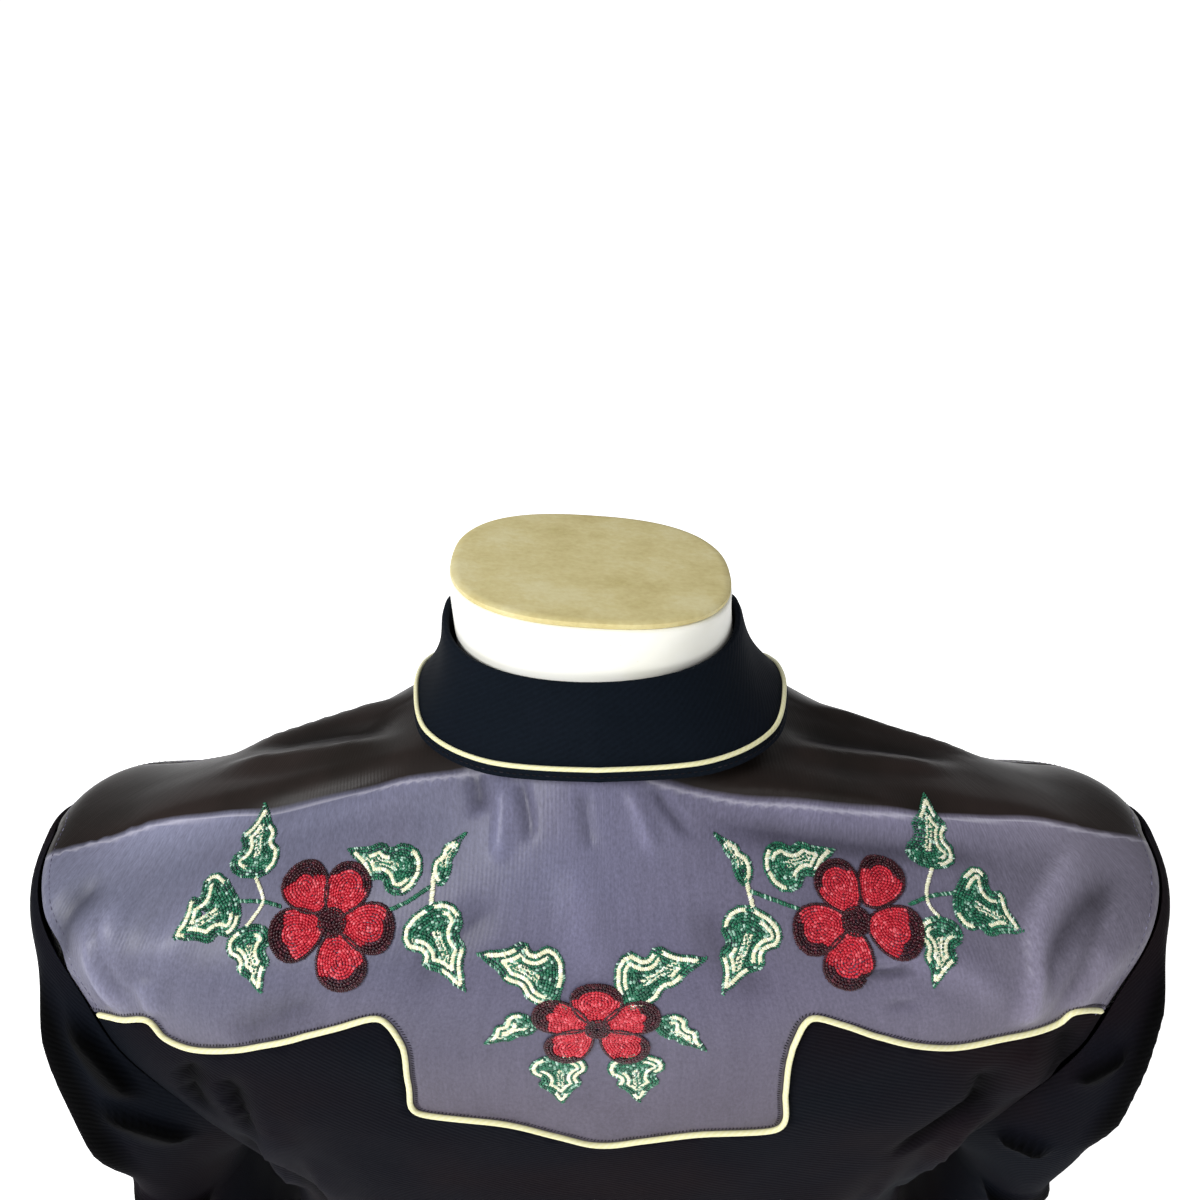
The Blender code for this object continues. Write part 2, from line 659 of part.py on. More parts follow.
def leaf_edge_point(angle):
    """The collar leaf's lower edge, mirrored for a negative angle."""
    size = abs(angle)
    index = max(k for k in range(len(LEAF_EDGE) - 1) if LEAF_EDGE[k][0] <= size)
    start, end = LEAF_EDGE[index][0], LEAF_EDGE[index + 1][0]
    _, x, y, z = between_rows(LEAF_EDGE, index + (size - start) / (end - start))
    return Vector((math.copysign(x, angle) if angle else x, y, TIP_HEIGHT + z))


def leaf_point(angle, share, lift=0.0):
    """A point on the collar leaf, from the fold (share 0) down to its edge (share 1)."""
    fold, edge = fold_point(angle), leaf_edge_point(angle)
    down = edge - fold
    round_it = fold_point(angle + 1.0) - fold_point(angle - 1.0)
    out = round_it.cross(down).normalized()
    return fold.lerp(edge, share) + out * (LEAF_ROLL * math.sin(math.pi * share) + lift)


def make_collar():
    turns = [360.0 * k / STAND_FACETS for k in range(STAND_FACETS)]
    rows = [[stand_point(angle, share) for angle in turns] for share in STAND_ROWS]
    strip("collar_stand", rows, COLLAR_WALL, "black_cloth", closed=True)
    angles = [LEAF_END_ANGLE * (2 * k / LEAF_COLUMNS - 1) for k in range(LEAF_COLUMNS + 1)]
    rows = [[leaf_point(angle, share) for angle in angles] for share in LEAF_ROWS]
    strip("collar_leaf", rows, COLLAR_WALL, "black_cloth", flip=True)
    lift = COLLAR_WALL / 2 + COLLAR_PIPING_GAP + PIPING_RADIUS
    run = []
    for angle in angles:
        narrowing = max(math.cos(math.radians(angle) / 1.6), COLLAR_PIPING_END_INSET)
        inset = COLLAR_PIPING_INSET * narrowing
        run.append(leaf_point(angle, 1.0 - inset, lift))
    tube("collar_piping", run, PIPING_RADIUS, "gold_piping")
    up = stand_point(180.0, 1.0) - stand_point(180.0, 0.0)
    out = Vector((1.0, 0.0, 0.0)).cross(up).normalized()
    foot = stand_point(180.0, COLLAR_SNAP_SHARE) + out * (COLLAR_WALL / 2 + LAYER_GAP)
    snap("snap_collar", foot, out)


def shortened(end, neighbour):
    """The end of a piping run, drawn a little round the body towards its neighbour."""
    return (end[0] + (neighbour[0] - end[0]) * PIPING_START_SHARE, end[1])


def make_yoke_piping():
    """Piping laid along the yokes' lower seams."""
    lift = CLOTH_WALL / 2 + LAYER_GAP + PIPING_RADIUS
    for name, places in (
        ("back_yoke_piping", back_yoke_run()),
        ("front_yoke_piping_left", front_yoke_run(1)),
        ("front_yoke_piping_right", front_yoke_run(-1)),
    ):
        run = [shortened(places[0], places[1])] + places[1:]
        if name == "back_yoke_piping":
            run[-1] = shortened(places[-1], places[-2])
        elif name.endswith("left"):
            run[-1] = (places[-1][0] - PLACKET_CLEARANCE, places[-1][1])
        else:
            edge = [placket_place(place[1], -1)[0] for place in run]
            run = [place for place, limit in zip(run, edge) if place[0] > limit + PLACKET_CLEARANCE]
        tube(name, [body_point(place, lift) for place in run], PIPING_RADIUS, "gold_piping")


def sleeve_ring_point(row, turn, swell=0.0):
    """A point on a hanging sleeve ring, at a turn from its outer side towards its back."""
    _, x_out, z_out, x_in, z_in, y_back, y_front, square = row
    out, back = power(math.cos(turn), 2 / square), power(math.sin(turn), 2 / square)
    half_x, half_y = (x_out - x_in) / 2 + swell, (y_back - y_front) / 2 + swell
    return Vector((
        (x_out + x_in) / 2 + half_x * out,
        (y_back + y_front) / 2 + half_y * back,
        TIP_HEIGHT + (z_out + z_in) / 2 + (z_out - z_in) / 2 * out,
    ))


def sleeve_swell(index, turn):
    """How far the sleeve's folds lift a point off its plain ring."""
    degrees = math.degrees(turn)
    total = 0.0
    for turn_1, row_1, turn_2, row_2, half_width, height in SLEEVE_FOLDS:
        share = ((degrees - turn_1 + 180.0) % 360.0 - 180.0) / (turn_2 - turn_1)
        middle = row_1 + (row_2 - row_1) * min(max(share, 0.0), 1.0)
        total += height * bump(share - 0.5, 0.8) * bump(index - middle, half_width)
    return total


def armhole_loop():
    """The armhole's points on the left, moved a little way into the hole."""
    places = [armhole_place(k, 1) for k in range(ARMHOLE_STATIONS)]
    points = [body_point(place) for place in places]
    loop = []
    for k, place in enumerate(places):
        along = points[(k + 1) % ARMHOLE_STATIONS] - points[k - 1]
        into = along.cross(body_normal(place)).normalized()
        loop.append(points[k] + into * SLEEVE_INSET)
    return loop


def mirrored(points, side):
    return [Vector((side * p.x, p.y, p.z)) for p in points]


def make_sleeves():
    loop = armhole_loop()
    rows = []
    for index, row in enumerate(SLEEVE_RINGS):
        ring = []
        for k in range(ARMHOLE_STATIONS):
            turn = 2 * math.pi * k / ARMHOLE_STATIONS
            point = sleeve_ring_point(row, turn, sleeve_swell(index, turn))
            ring.append(loop[k].lerp(point, row[0]))
        rows.append(ring)
    last = SLEEVE_RINGS[-1]
    cuff_rows = []
    for drop in (SEAM_GAP, CUFF_DEPTH / 2, CUFF_DEPTH):
        ring = []
        for k in range(ARMHOLE_STATIONS):
            point = sleeve_ring_point(last, 2 * math.pi * k / ARMHOLE_STATIONS)
            ring.append(point - Vector((0.0, 0.0, drop)))
        cuff_rows.append(ring)
    for side, word in ((1, "left"), (-1, "right")):
        grid = [mirrored(ring, side) for ring in rows]
        strip(f"sleeve_{word}", grid, CLOTH_WALL, "black_cloth", closed=True, flip=side < 0)
        grid = [mirrored(ring, side) for ring in cuff_rows]
        strip(f"cuff_{word}", grid, CUFF_WALL, "black_cloth", closed=True, flip=side < 0)
        for k in range(CUFF_SNAPS):
            x = side * (last[1] + CUFF_WALL / 2 + LAYER_GAP)
            z = TIP_HEIGHT + last[2] - CUFF_DEPTH * (0.28 + 0.44 * k)
            y = (last[5] + last[6]) / 2
            snap(f"snap_cuff_{word}_{k + 1}", Vector((x, y, z)), Vector((side, 0.0, 0.0)))


def form_clearance(level):
    places = [row[0] for row in FORM_CLEARANCE]
    index = max(k for k in range(len(places) - 1) if places[k] <= level)
    (start, low), (end, high) = FORM_CLEARANCE[index], FORM_CLEARANCE[index + 1]
    return low + (high - low) * min((level - start) / (end - start), 1.0)


def neck_top_frame():
    """The neck's cut: a frame whose XY plane is the cut and whose origin is its middle."""
    x, y, z = NECK_TOP_CENTRE
    turn = Matrix.Rotation(NECK_TOP_TILT, 4, "X") @ Matrix.Rotation(NECK_TOP_ROLL, 4, "Y")
    return Matrix.Translation((x, y, TIP_HEIGHT + z)) @ turn


def neck_top_ring(drop=0.0):
    frame = neck_top_frame()
    half_x, half_y = NECK_TOP_HALF
    ring = []
    for k in range(FORM_FACETS):
        turn = 2 * math.pi * k / FORM_FACETS
        ring.append(frame @ Vector((half_x * math.sin(turn), half_y * math.cos(turn), -drop)))
    return ring


def closed_loft(name, rings, finish_name):
    """A solid through rings of points, closed by a flat face at each end."""
    mesh = bmesh.new()
    layers = [[mesh.verts.new(point) for point in ring] for ring in rings]
    count = len(rings[0])
    for upper, lower in zip(layers, layers[1:]):
        for k in range(count):
            nxt = (k + 1) % count
            mesh.faces.new((upper[k], upper[nxt], lower[nxt], lower[k]))
    mesh.faces.new(layers[0])
    mesh.faces.new(list(reversed(layers[-1])))
    bmesh.ops.recalc_face_normals(mesh, faces=mesh.faces)
    data = bpy.data.meshes.new(name)
    mesh.to_mesh(data)
    mesh.free()
    data.shade_smooth()
    data.set_sharp_from_angle(angle=math.radians(40))
    return new_object(name, data, finish_name)


def make_form():
    angles = [360.0 * k / FORM_FACETS for k in range(FORM_FACETS)]
    rings = [neck_top_ring(NECK_CAP_DEPTH + SEAM_GAP)]
    for row, shift in zip(reversed(NECK_RINGS), reversed(NECK_SHIFTS)):
        rings.append([ring_point(row, angle) + Vector((shift, 0.0, 0.0)) for angle in angles])
    levels = [0.8 + 0.4 * k for k in range(15)] + [7.2, 7.9, 8.6, 9.3, 10.2, 11.1, 12.0]
    for level in levels:
        drop = form_clearance(level)
        places = [(angle, level) for angle in angles]
        rings.append([plain_point(place) - body_normal(place) * drop for place in places])
    base = []
    for angle in angles:
        point = ring_point(FORM_BASE, angle)
        base.append(Vector((point.x, point.y, 0.0)))
    rings.append([low.lerp(high, 0.35) for low, high in zip(base, rings[-1])])
    rings.append(base)
    closed_loft("torso_form", rings, "form_shell")
    closed_loft("form_neck_cap", [neck_top_ring(0.0), neck_top_ring(NECK_CAP_DEPTH)], "form_cap")


clear_scene()
parts = bpy.data.collections.new("western_snap_shirt")
bpy.context.scene.collection.children.link(parts)
make_body_panels()
make_placket()
make_collar()
make_yoke_piping()
make_sleeves()
make_form()
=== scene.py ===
"""The looks of a western snap shirt on its limbless torso form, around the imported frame.

The shirt's front faces -Y and its left sleeve is at +X. A place on the body is an angle (0 at the
centre back, 90 at the left side, 180 at the centre front) and a level (0 at the neck seam, 4 at the
shoulder tips, 8 at the underarm, 13 at the hem). A place on a sleeve is a turn (0 at the outer side,
90 at the back) and a row down the sleeve.
"""

import math

import bmesh
import bpy
import numpy as np
from mathutils import Matrix, Vector
from mathutils.geometry import delaunay_2d_cdt


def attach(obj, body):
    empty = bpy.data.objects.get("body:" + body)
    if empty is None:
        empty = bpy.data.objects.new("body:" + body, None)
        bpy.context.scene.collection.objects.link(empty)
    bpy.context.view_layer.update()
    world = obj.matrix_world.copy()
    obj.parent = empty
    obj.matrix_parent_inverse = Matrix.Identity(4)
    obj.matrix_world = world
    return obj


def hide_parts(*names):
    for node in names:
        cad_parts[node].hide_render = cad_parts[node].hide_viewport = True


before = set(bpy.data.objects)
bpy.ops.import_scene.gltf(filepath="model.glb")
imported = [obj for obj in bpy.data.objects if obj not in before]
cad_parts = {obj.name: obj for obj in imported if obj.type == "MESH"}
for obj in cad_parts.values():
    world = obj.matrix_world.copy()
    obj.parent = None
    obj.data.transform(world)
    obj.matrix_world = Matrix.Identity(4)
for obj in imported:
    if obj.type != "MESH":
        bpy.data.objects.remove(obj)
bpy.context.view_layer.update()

# Sizes in metres
TIP_HEIGHT = 0.760
CLOTH_WALL = 0.0009
COLLAR_WALL = 0.0015
SEAM_GAP = 0.0006
PIPING_RADIUS, COLLAR_PIPING_RADIUS = 0.00122, 0.00098
YOKE_STEP = 0.0030
FRONT_YOKE_STEP = 0.0042
BODY_STEP = 0.0052
PLACKET_WALL = 0.0012
# The range of crease heights that takes the cloth's painted shade from its darkest to its lightest
CREASE_RANGE = 0.008
# How far the satin's painted shade takes to come on where it turns over the shoulder
CREST_WIDTH = 0.0065

# Columns: half_width, y_side, y_back, y_front, z_side, z_back, z_front, square_back, square_front
BODY_RINGS = np.array((
    (0.068, -0.021, 0.044, -0.087, 0.052, 0.069, -0.008, 2.0, 2.0),  # 0 neck seam
    (0.105, -0.011, 0.067, -0.095, 0.034, 0.043, -0.058, 2.1, 2.0),
    (0.152, 0.001, 0.088, -0.100, 0.020, 0.018, -0.086, 2.3, 2.0),
    (0.198, 0.012, 0.101, -0.105, 0.009, -0.006, -0.104, 2.6, 2.1),
    (0.232, 0.020, 0.105, -0.109, 0.003, -0.032, -0.110, 2.8, 2.3),  # 4 shoulder tips
    (0.243, 0.023, 0.106, -0.111, -0.016, -0.060, -0.128, 2.8, 2.3),
    (0.243, 0.021, 0.106, -0.111, -0.050, -0.095, -0.148, 2.8, 2.3),
    (0.219, 0.013, 0.104, -0.110, -0.110, -0.140, -0.175, 2.6, 2.3),
    (0.174, 0.001, 0.101, -0.107, -0.200, -0.210, -0.220, 2.4, 2.3),  # 8 underarm
    (0.168, -0.005, 0.097, -0.099, -0.300, -0.300, -0.300, 2.4, 2.3),
    (0.168, -0.005, 0.095, -0.095, -0.400, -0.400, -0.400, 2.4, 2.3),  # 10 waist
    (0.176, -0.005, 0.097, -0.097, -0.500, -0.500, -0.500, 2.4, 2.3),
    (0.184, -0.005, 0.101, -0.101, -0.580, -0.600, -0.600, 2.4, 2.3),
    (0.186, -0.005, 0.102, -0.102, -0.640, -0.710, -0.710, 2.4, 2.3),  # 13 shirt-tail hem
))
# Columns: angle_1, level_1, angle_2, level_2, half_width, height
BODY_FOLDS = (
    (22.0, 6.8, 34.0, 9.6, 0.022, 0.0050), (-24.0, 7.0, -30.0, 10.2, 0.024, 0.0050),
    (7.0, 8.6, 11.0, 12.6, 0.024, 0.0040), (-12.0, 9.4, -6.0, 13.0, 0.026, 0.0045),
    (78.0, 8.3, 60.0, 11.8, 0.024, 0.0050), (-80.0, 8.4, -64.0, 12.4, 0.026, 0.0050),
    (46.0, 9.8, 40.0, 13.0, 0.024, 0.0045), (-48.0, 10.4, -44.0, 13.0, 0.024, 0.0040),
    (112.0, 8.6, 134.0, 11.6, 0.024, 0.0050), (-110.0, 8.4, -136.0, 11.2, 0.024, 0.0050),
    (146.0, 7.4, 152.0, 10.6, 0.022, 0.0040), (-148.0, 7.8, -152.0, 11.4, 0.022, 0.0040),
    (128.0, 11.8, 132.0, 13.0, 0.022, 0.0040), (-124.0, 11.6, -122.0, 13.0, 0.022, 0.0040),
)
NOMINAL_RADIUS = 0.19
UNDERARM_LEVEL, HEM_LEVEL = 8.0, 13.0
ARMHOLE_TOP_LEVEL, ARMHOLE_OPENING, ARMHOLE_STATIONS = 4.1, 35.0, 24.0
# Degrees in from the side line at each station down the back of the armhole
BACK_OPENING = np.array((
    0.0, 13.0, 22.5, 30.0, 35.5, 39.0, 41.0, 41.5, 40.0, 35.0, 27.0, 15.0, 0.0))[:, None]
BACK_YOKE_STATION, FRONT_YOKE_STATION, SHOULDER_SEAM_STATION = 4.4, 18.0, 20.0
SHOULDER_SEAM_ANGLE = 112.0
# Columns: x_left, z_left, x_right, z_right
BACK_YOKE_EDGE = np.array((
    (0.192, -0.0350, 0.198, -0.0325), (0.181, -0.0320, 0.190, -0.0300),
    (0.176, -0.0400, 0.186, -0.0350), (0.166, -0.0440, 0.160, -0.0370),
    (0.144, -0.0390, 0.138, -0.0370), (0.122, -0.0300, 0.110, -0.0270),
    (0.103, -0.0220, 0.095, -0.0195), (0.087, -0.0160, 0.083, -0.0150),
    (0.082, -0.0190, 0.079, -0.0180), (0.077, -0.0330, 0.075, -0.0360),
    (0.077, -0.0520, 0.075, -0.0580), (0.077, -0.0700, 0.076, -0.0810),
    (0.074, -0.0735, 0.073, -0.0850), (0.041, -0.0785, 0.042, -0.0870),
    (0.018, -0.0880, 0.018, -0.0920), (0.000, -0.0950, 0.000, -0.0950),
))
FRONT_YOKE_EDGE = np.array((
    (0.176, -0.088), (0.150, -0.098), (0.124, -0.116), (0.100, -0.140),
    (0.080, -0.122), (0.056, -0.104), (0.034, -0.096),
))
PLACKET_HALF_WIDTH = 0.0175
FOLD_RING = np.array((0.0625, -0.028, 0.035, -0.092, 0.087, 0.097, 0.026, 2.0, 2.0))
FOLD_SHIFT = 0.0035
STAND_INSET, STAND_HEAD_INSET = 0.0026, 0.0018
# Columns: angle, x, y, height above the shoulder tips
LEAF_EDGE = np.array((
    (0.0, 0.0000, 0.056, 0.0665), (30.0, 0.0430, 0.049, 0.0640),
    (60.0, 0.0705, 0.026, 0.0600), (90.0, 0.0795, -0.011, 0.0530),
    (120.0, 0.0785, -0.045, 0.0420), (145.0, 0.0745, -0.078, 0.0150),
    (172.0, 0.0620, -0.104, -0.0460),
))
LEAF_END_ANGLE, COLLAR_PIPING_INSET = 172.0, 0.13
# Columns: blend, x_out, z_out, x_in, z_in, y_back, y_front, square
SLEEVE_RINGS = np.array((
    (0.00, 0.250, -0.010, 0.180, -0.205, 0.090, -0.070, 2.2),
    (0.30, 0.252, -0.012, 0.184, -0.206, 0.091, -0.077, 2.2),
    (0.60, 0.252, -0.040, 0.186, -0.212, 0.090, -0.083, 2.1),
    (0.85, 0.252, -0.078, 0.187, -0.224, 0.088, -0.089, 2.0),
    (1.00, 0.249, -0.118, 0.188, -0.240, 0.083, -0.093, 2.0),
    (1.00, 0.241, -0.160, 0.188, -0.260, 0.072, -0.097, 2.0),
    (1.00, 0.230, -0.208, 0.188, -0.285, 0.060, -0.101, 2.1),
    (1.00, 0.222, -0.260, 0.187, -0.315, 0.049, -0.105, 2.2),
    (1.00, 0.218, -0.315, 0.186, -0.350, 0.040, -0.108, 2.4),
    (1.00, 0.217, -0.370, 0.186, -0.390, 0.035, -0.110, 2.5),
    (1.00, 0.219, -0.425, 0.188, -0.435, 0.027, -0.110, 2.4),
    (1.00, 0.223, -0.480, 0.192, -0.485, 0.021, -0.107, 2.3),
    (1.00, 0.227, -0.530, 0.196, -0.530, 0.015, -0.103, 2.2),
    (1.00, 0.230, -0.566, 0.199, -0.566, 0.009, -0.098, 2.1),
    (1.00, 0.230, -0.580, 0.200, -0.580, 0.004, -0.094, 2.0),
))
# Columns: turn_1, row_1, turn_2, row_2, half_width, height
SLEEVE_FOLDS = (
    (8.0, 4.6, 70.0, 6.6, 1.4, 0.0030), (-40.0, 5.6, 30.0, 7.8, 1.4, 0.0030),
    (50.0, 7.4, 110.0, 8.8, 0.9, 0.0055), (-20.0, 8.2, 60.0, 9.4, 0.9, 0.0050),
    (-70.0, 7.6, -10.0, 9.0, 0.9, 0.0050), (-30.0, 10.2, 50.0, 11.2, 0.8, 0.0040),
    (-75.0, 11.4, 20.0, 12.4, 0.8, 0.0035),
)
SLEEVE_INSET, CUFF_DEPTH, CUFF_WALL = 0.0027, 0.064, 0.0020
SNAP_TOP, SNAP_PITCH, FRONT_SNAPS, CUFF_SNAPS = -0.050, 0.095, 6, 2

# The yoke's crest, where the satin turns over the shoulder. Columns: level, angle
LEFT_CREST = np.array((
    (0.0, 40.0), (0.42, 56.0), (0.73, 64.8), (1.20, 73.1), (1.69, 78.4), (2.23, 82.2),
    (2.80, 84.4), (3.36, 84.4), (4.06, 84.4),
))
RIGHT_CREST = np.array((
    (0.0, -20.0), (0.41, -39.1), (0.75, -54.5), (1.18, -66.0), (1.69, -75.6), (2.22, -81.5),
    (2.76, -85.2), (3.39, -86.6), (4.40, -88.8),
))
# Creases in the body's cloth: height, half width, lean of the steeper side, places along it
CREASES = (
    (0.0051, 0.030, 0.0, tuple((a, v) for v, a in LEFT_CREST)),
    (0.0051, 0.030, 0.0, tuple((a, v) for v, a in RIGHT_CREST)),
    # below the collar
    (-0.0028, 0.008, 0.0, ((40.0, 0.36), (34.0, 0.55), (28.0, 0.80))),
    (0.0026, 0.006, 0.3, ((30.0, 0.36), (23.0, 0.75), (18.0, 1.30))),
    (-0.0022, 0.005, 0.0, ((24.0, 0.34), (17.0, 0.70), (13.0, 1.05))),
    (-0.0016, 0.005, 0.0, ((5.0, 0.36), (3.0, 0.70), (1.0, 1.10))),
    (0.0018, 0.006, 0.2, ((-7.0, 0.36), (-9.0, 0.75), (-10.0, 1.20))),
    (-0.0018, 0.005, 0.0, ((-14.0, 0.36), (-17.0, 0.70), (-20.0, 1.00))),
    (0.0036, 0.010, 0.4, ((-22.0, 0.40), (-33.0, 0.58), (-46.0, 0.80), (-60.0, 1.25), (-72.0, 1.90))),
    (-0.0030, 0.010, 0.0, ((-20.0, 0.75), (-32.0, 0.98), (-44.0, 1.30), (-58.0, 1.85), (-72.0, 2.60))),
    (-0.0020, 0.008, 0.0, ((52.0, 0.62), (60.0, 0.98), (68.0, 1.50), (74.0, 2.20))),
    # the satin in front of the crest, drawn from the collar
    (0.0037, 0.010, 0.3, ((70.0, 0.50), (84.0, 1.30), (96.0, 2.40))),
    (-0.0031, 0.009, 0.0, ((80.0, 0.50), (92.0, 1.20), (102.0, 2.20))),
    (0.0034, 0.010, 0.3, ((92.0, 0.45), (101.0, 1.20), (108.0, 2.60))),
    (0.0037, 0.010, 0.3, ((-58.0, 0.40), (-76.0, 1.10), (-92.0, 2.10))),
    (-0.0031, 0.009, 0.0, ((-70.0, 0.40), (-86.0, 1.10), (-98.0, 2.30))),
    (0.0034, 0.010, 0.3, ((-86.0, 0.40), (-97.0, 1.20), (-105.0, 2.70))),
    # across the right shoulder blade
    (0.0044, 0.013, 0.5, ((-86.0, 3.20), (-69.0, 2.96), (-51.0, 3.22), (-34.0, 4.55))),
    (-0.0038, 0.010, 0.0, ((-80.0, 3.60), (-62.0, 3.34), (-47.0, 3.70), (-38.0, 4.40))),
    (0.0026, 0.009, 0.4, ((-47.0, 3.40), (-41.0, 3.95), (-37.0, 4.60))),
    (-0.0032, 0.0045, 0.4, ((-23.0, 3.16), (-26.7, 2.92), (-30.0, 2.95), (-33.5, 3.00))),
    (0.0015, 0.005, 0.0, ((-22.5, 3.02), (-26.5, 2.80), (-33.0, 2.86))),
    (-0.0012, 0.004, 0.0, ((-24.0, 3.42), (-28.5, 3.46))),
    (0.0020, 0.012, 0.0, ((-32.0, 2.60), (-38.0, 3.30), (-33.0, 4.20))),
    (-0.0022, 0.005, 0.4, ((-41.0, 4.60), (-47.0, 4.20), (-57.0, 3.72), (-74.0, 3.45))),
    # beside the left armhole
    (-0.0028, 0.005, 0.4, ((66.0, 3.40), (60.0, 3.70), (54.0, 4.00), (45.0, 4.50))),
    (0.0024, 0.008, 0.4, ((47.0, 3.90), (43.0, 4.25), (41.0, 4.60))),
    (0.0017, 0.014, 0.0, ((60.0, 2.20), (52.0, 3.00), (46.0, 3.90))),
    (0.0036, 0.012, 0.3, ((66.0, 3.10), (58.0, 3.80), (50.0, 4.50), (45.0, 5.00))),
    (-0.0034, 0.012, 0.0, ((74.0, 3.20), (66.0, 4.00), (58.0, 4.75))),
    (-0.0020, 0.014, 0.0, ((24.0, 3.20), (27.0, 3.80), (30.0, 4.60))),
    (0.0024, 0.016, 0.0, ((-60.0, 3.80), (-52.0, 4.30), (-44.0, 4.80))),
    # small hollows round the embroidery
    (-0.0018, 0.013, 0.0, ((14.0, 1.60), (17.0, 2.30), (13.0, 3.00))),
    (-0.0018, 0.013, 0.0, ((-15.0, 1.50), (-13.0, 2.30), (-14.0, 3.10))),
    (0.0014, 0.014, 0.0, ((4.0, 1.10), (2.0, 1.90), (-1.0, 2.60))),
    # the black back: drawn towards the armholes
    (-0.0051, 0.009, 0.4, ((35.0, 5.10), (38.5, 5.90), (42.0, 6.60))),
    (0.0051, 0.014, 0.3, ((28.5, 5.60), (31.0, 6.40), (40.0, 7.20), (60.0, 8.10))),
    (0.0037, 0.012, 0.4, ((26.0, 6.60), (36.0, 7.60), (52.0, 8.60))),
    (0.0051, 0.014, 0.3, ((-34.0, 5.80), (-36.0, 6.55), (-42.0, 7.30), (-60.0, 8.10))),
    (-0.0034, 0.010, 0.0, ((-44.0, 4.95), (-46.0, 5.60), (-48.0, 6.30))),
    (0.0031, 0.010, 0.0, ((-38.0, 5.00), (-40.0, 5.70), (-44.0, 6.40))),
    (0.0037, 0.012, 0.4, ((-28.0, 6.80), (-38.0, 7.70), (-54.0, 8.70))),
    (-0.0048, 0.009, 0.4, ((31.0, 5.20), (32.0, 6.06), (37.0, 6.90))),
    (-0.0060, 0.012, 0.2, ((38.0, 6.70), (42.0, 7.15), (45.0, 7.70), (50.0, 8.20))),
    (-0.0048, 0.010, 0.4, ((-32.0, 5.20), (-33.0, 5.85), (-38.0, 6.50))),
    (-0.0044, 0.008, 0.4, ((-28.0, 6.85), (-32.0, 6.25), (-34.0, 5.75))),
    (-0.0055, 0.011, 0.2, ((-50.0, 7.80), (-45.0, 7.10), (-40.0, 6.50))),
    # the same on the front
    (0.0044, 0.014, 0.3, ((146.0, 5.60), (140.0, 6.50), (128.0, 7.40), (112.0, 8.20))),
    (0.0044, 0.014, 0.3, ((-147.0, 5.50), (-141.0, 6.60), (-127.0, 7.50), (-111.0, 8.30))),
    (-0.0031, 0.010, 0.0, ((152.0, 6.20), (144.0, 7.40), (126.0, 8.60))),
    (0.0034, 0.013, 0.2, ((-152.0, 6.60), (-143.0, 7.90), (-122.0, 9.30))),
    (0.0024, 0.010, 0.2, ((150.0, 1.60), (140.0, 2.60), (128.0, 3.90))),
    (0.0024, 0.010, 0.2, ((-151.0, 1.40), (-142.0, 2.60), (-130.0, 4.10))),
    # down the sides and the shirt tails
    (0.0048, 0.016, 0.2, ((92.0, 8.60), (84.0, 10.0), (70.0, 11.6))),
    (-0.0041, 0.013, 0.0, ((-98.0, 8.50), (-88.0, 10.2), (-76.0, 12.0))),
    (0.0037, 0.018, 0.0, ((18.0, 9.80), (24.0, 11.4), (20.0, 12.9))),
    (-0.0031, 0.014, 0.0, ((-34.0, 10.6), (-28.0, 11.8), (-31.0, 12.95))),
    (0.0037, 0.018, 0.0, ((160.0, 9.60), (156.0, 11.2), (160.0, 12.9))),
    (-0.0031, 0.014, 0.0, ((-160.0, 9.00), (-155.0, 10.8), (-158.0, 12.5))),
)
# Creases in the sleeves, as above, with places as (turn, row); the right sleeve's own last
LEFT_SLEEVE_CREASES = (
    (-0.0060, 0.009, 0.4, ((56.0, 1.3), (66.0, 1.0), (76.0, 0.9), (86.0, 0.9), (98.0, 1.1))),
    (-0.0060, 0.010, 0.4, ((74.0, 2.5), (82.0, 2.2), (98.0, 1.7), (110.0, 1.4), (122.0, 1.1))),
    (-0.0085, 0.012, 0.3, ((36.0, 1.2), (58.0, 2.0), (80.0, 2.9), (96.0, 3.5))),
    (0.0059, 0.016, 0.0, ((24.0, 1.8), (50.0, 2.9), (76.0, 3.9), (100.0, 4.6))),
    (-0.0076, 0.012, 0.3, ((74.0, 4.3), (92.0, 4.4), (112.0, 4.3), (136.0, 3.8))),
    (0.0051, 0.014, 0.0, ((50.0, 5.0), (84.0, 5.4), (120.0, 5.2))),
    (0.0044, 0.014, 0.2, ((-20.0, 2.0), (-50.0, 3.2), (-84.0, 4.0))),
    (-0.0044, 0.013, 0.0, ((-30.0, 3.0), (-60.0, 4.2), (-100.0, 4.8))),
    (0.0051, 0.015, 0.2, ((-10.0, 6.2), (36.0, 7.0), (84.0, 7.2))),
    (-0.0044, 0.013, 0.0, ((-84.0, 6.6), (-34.0, 8.6), (20.0, 9.2))),
    (0.0048, 0.014, 0.2, ((90.0, 9.0), (40.0, 10.0), (-10.0, 10.3))),
    (0.0044, 0.013, 0.2, ((-96.0, 9.4), (-50.0, 10.8), (0.0, 11.5))),
    (-0.0041, 0.011, 0.0, ((100.0, 10.8), (56.0, 11.8), (10.0, 12.3))),
    (0.0037, 0.010, 0.2, ((-110.0, 12.4), (-60.0, 13.0), (-20.0, 13.2))),
)
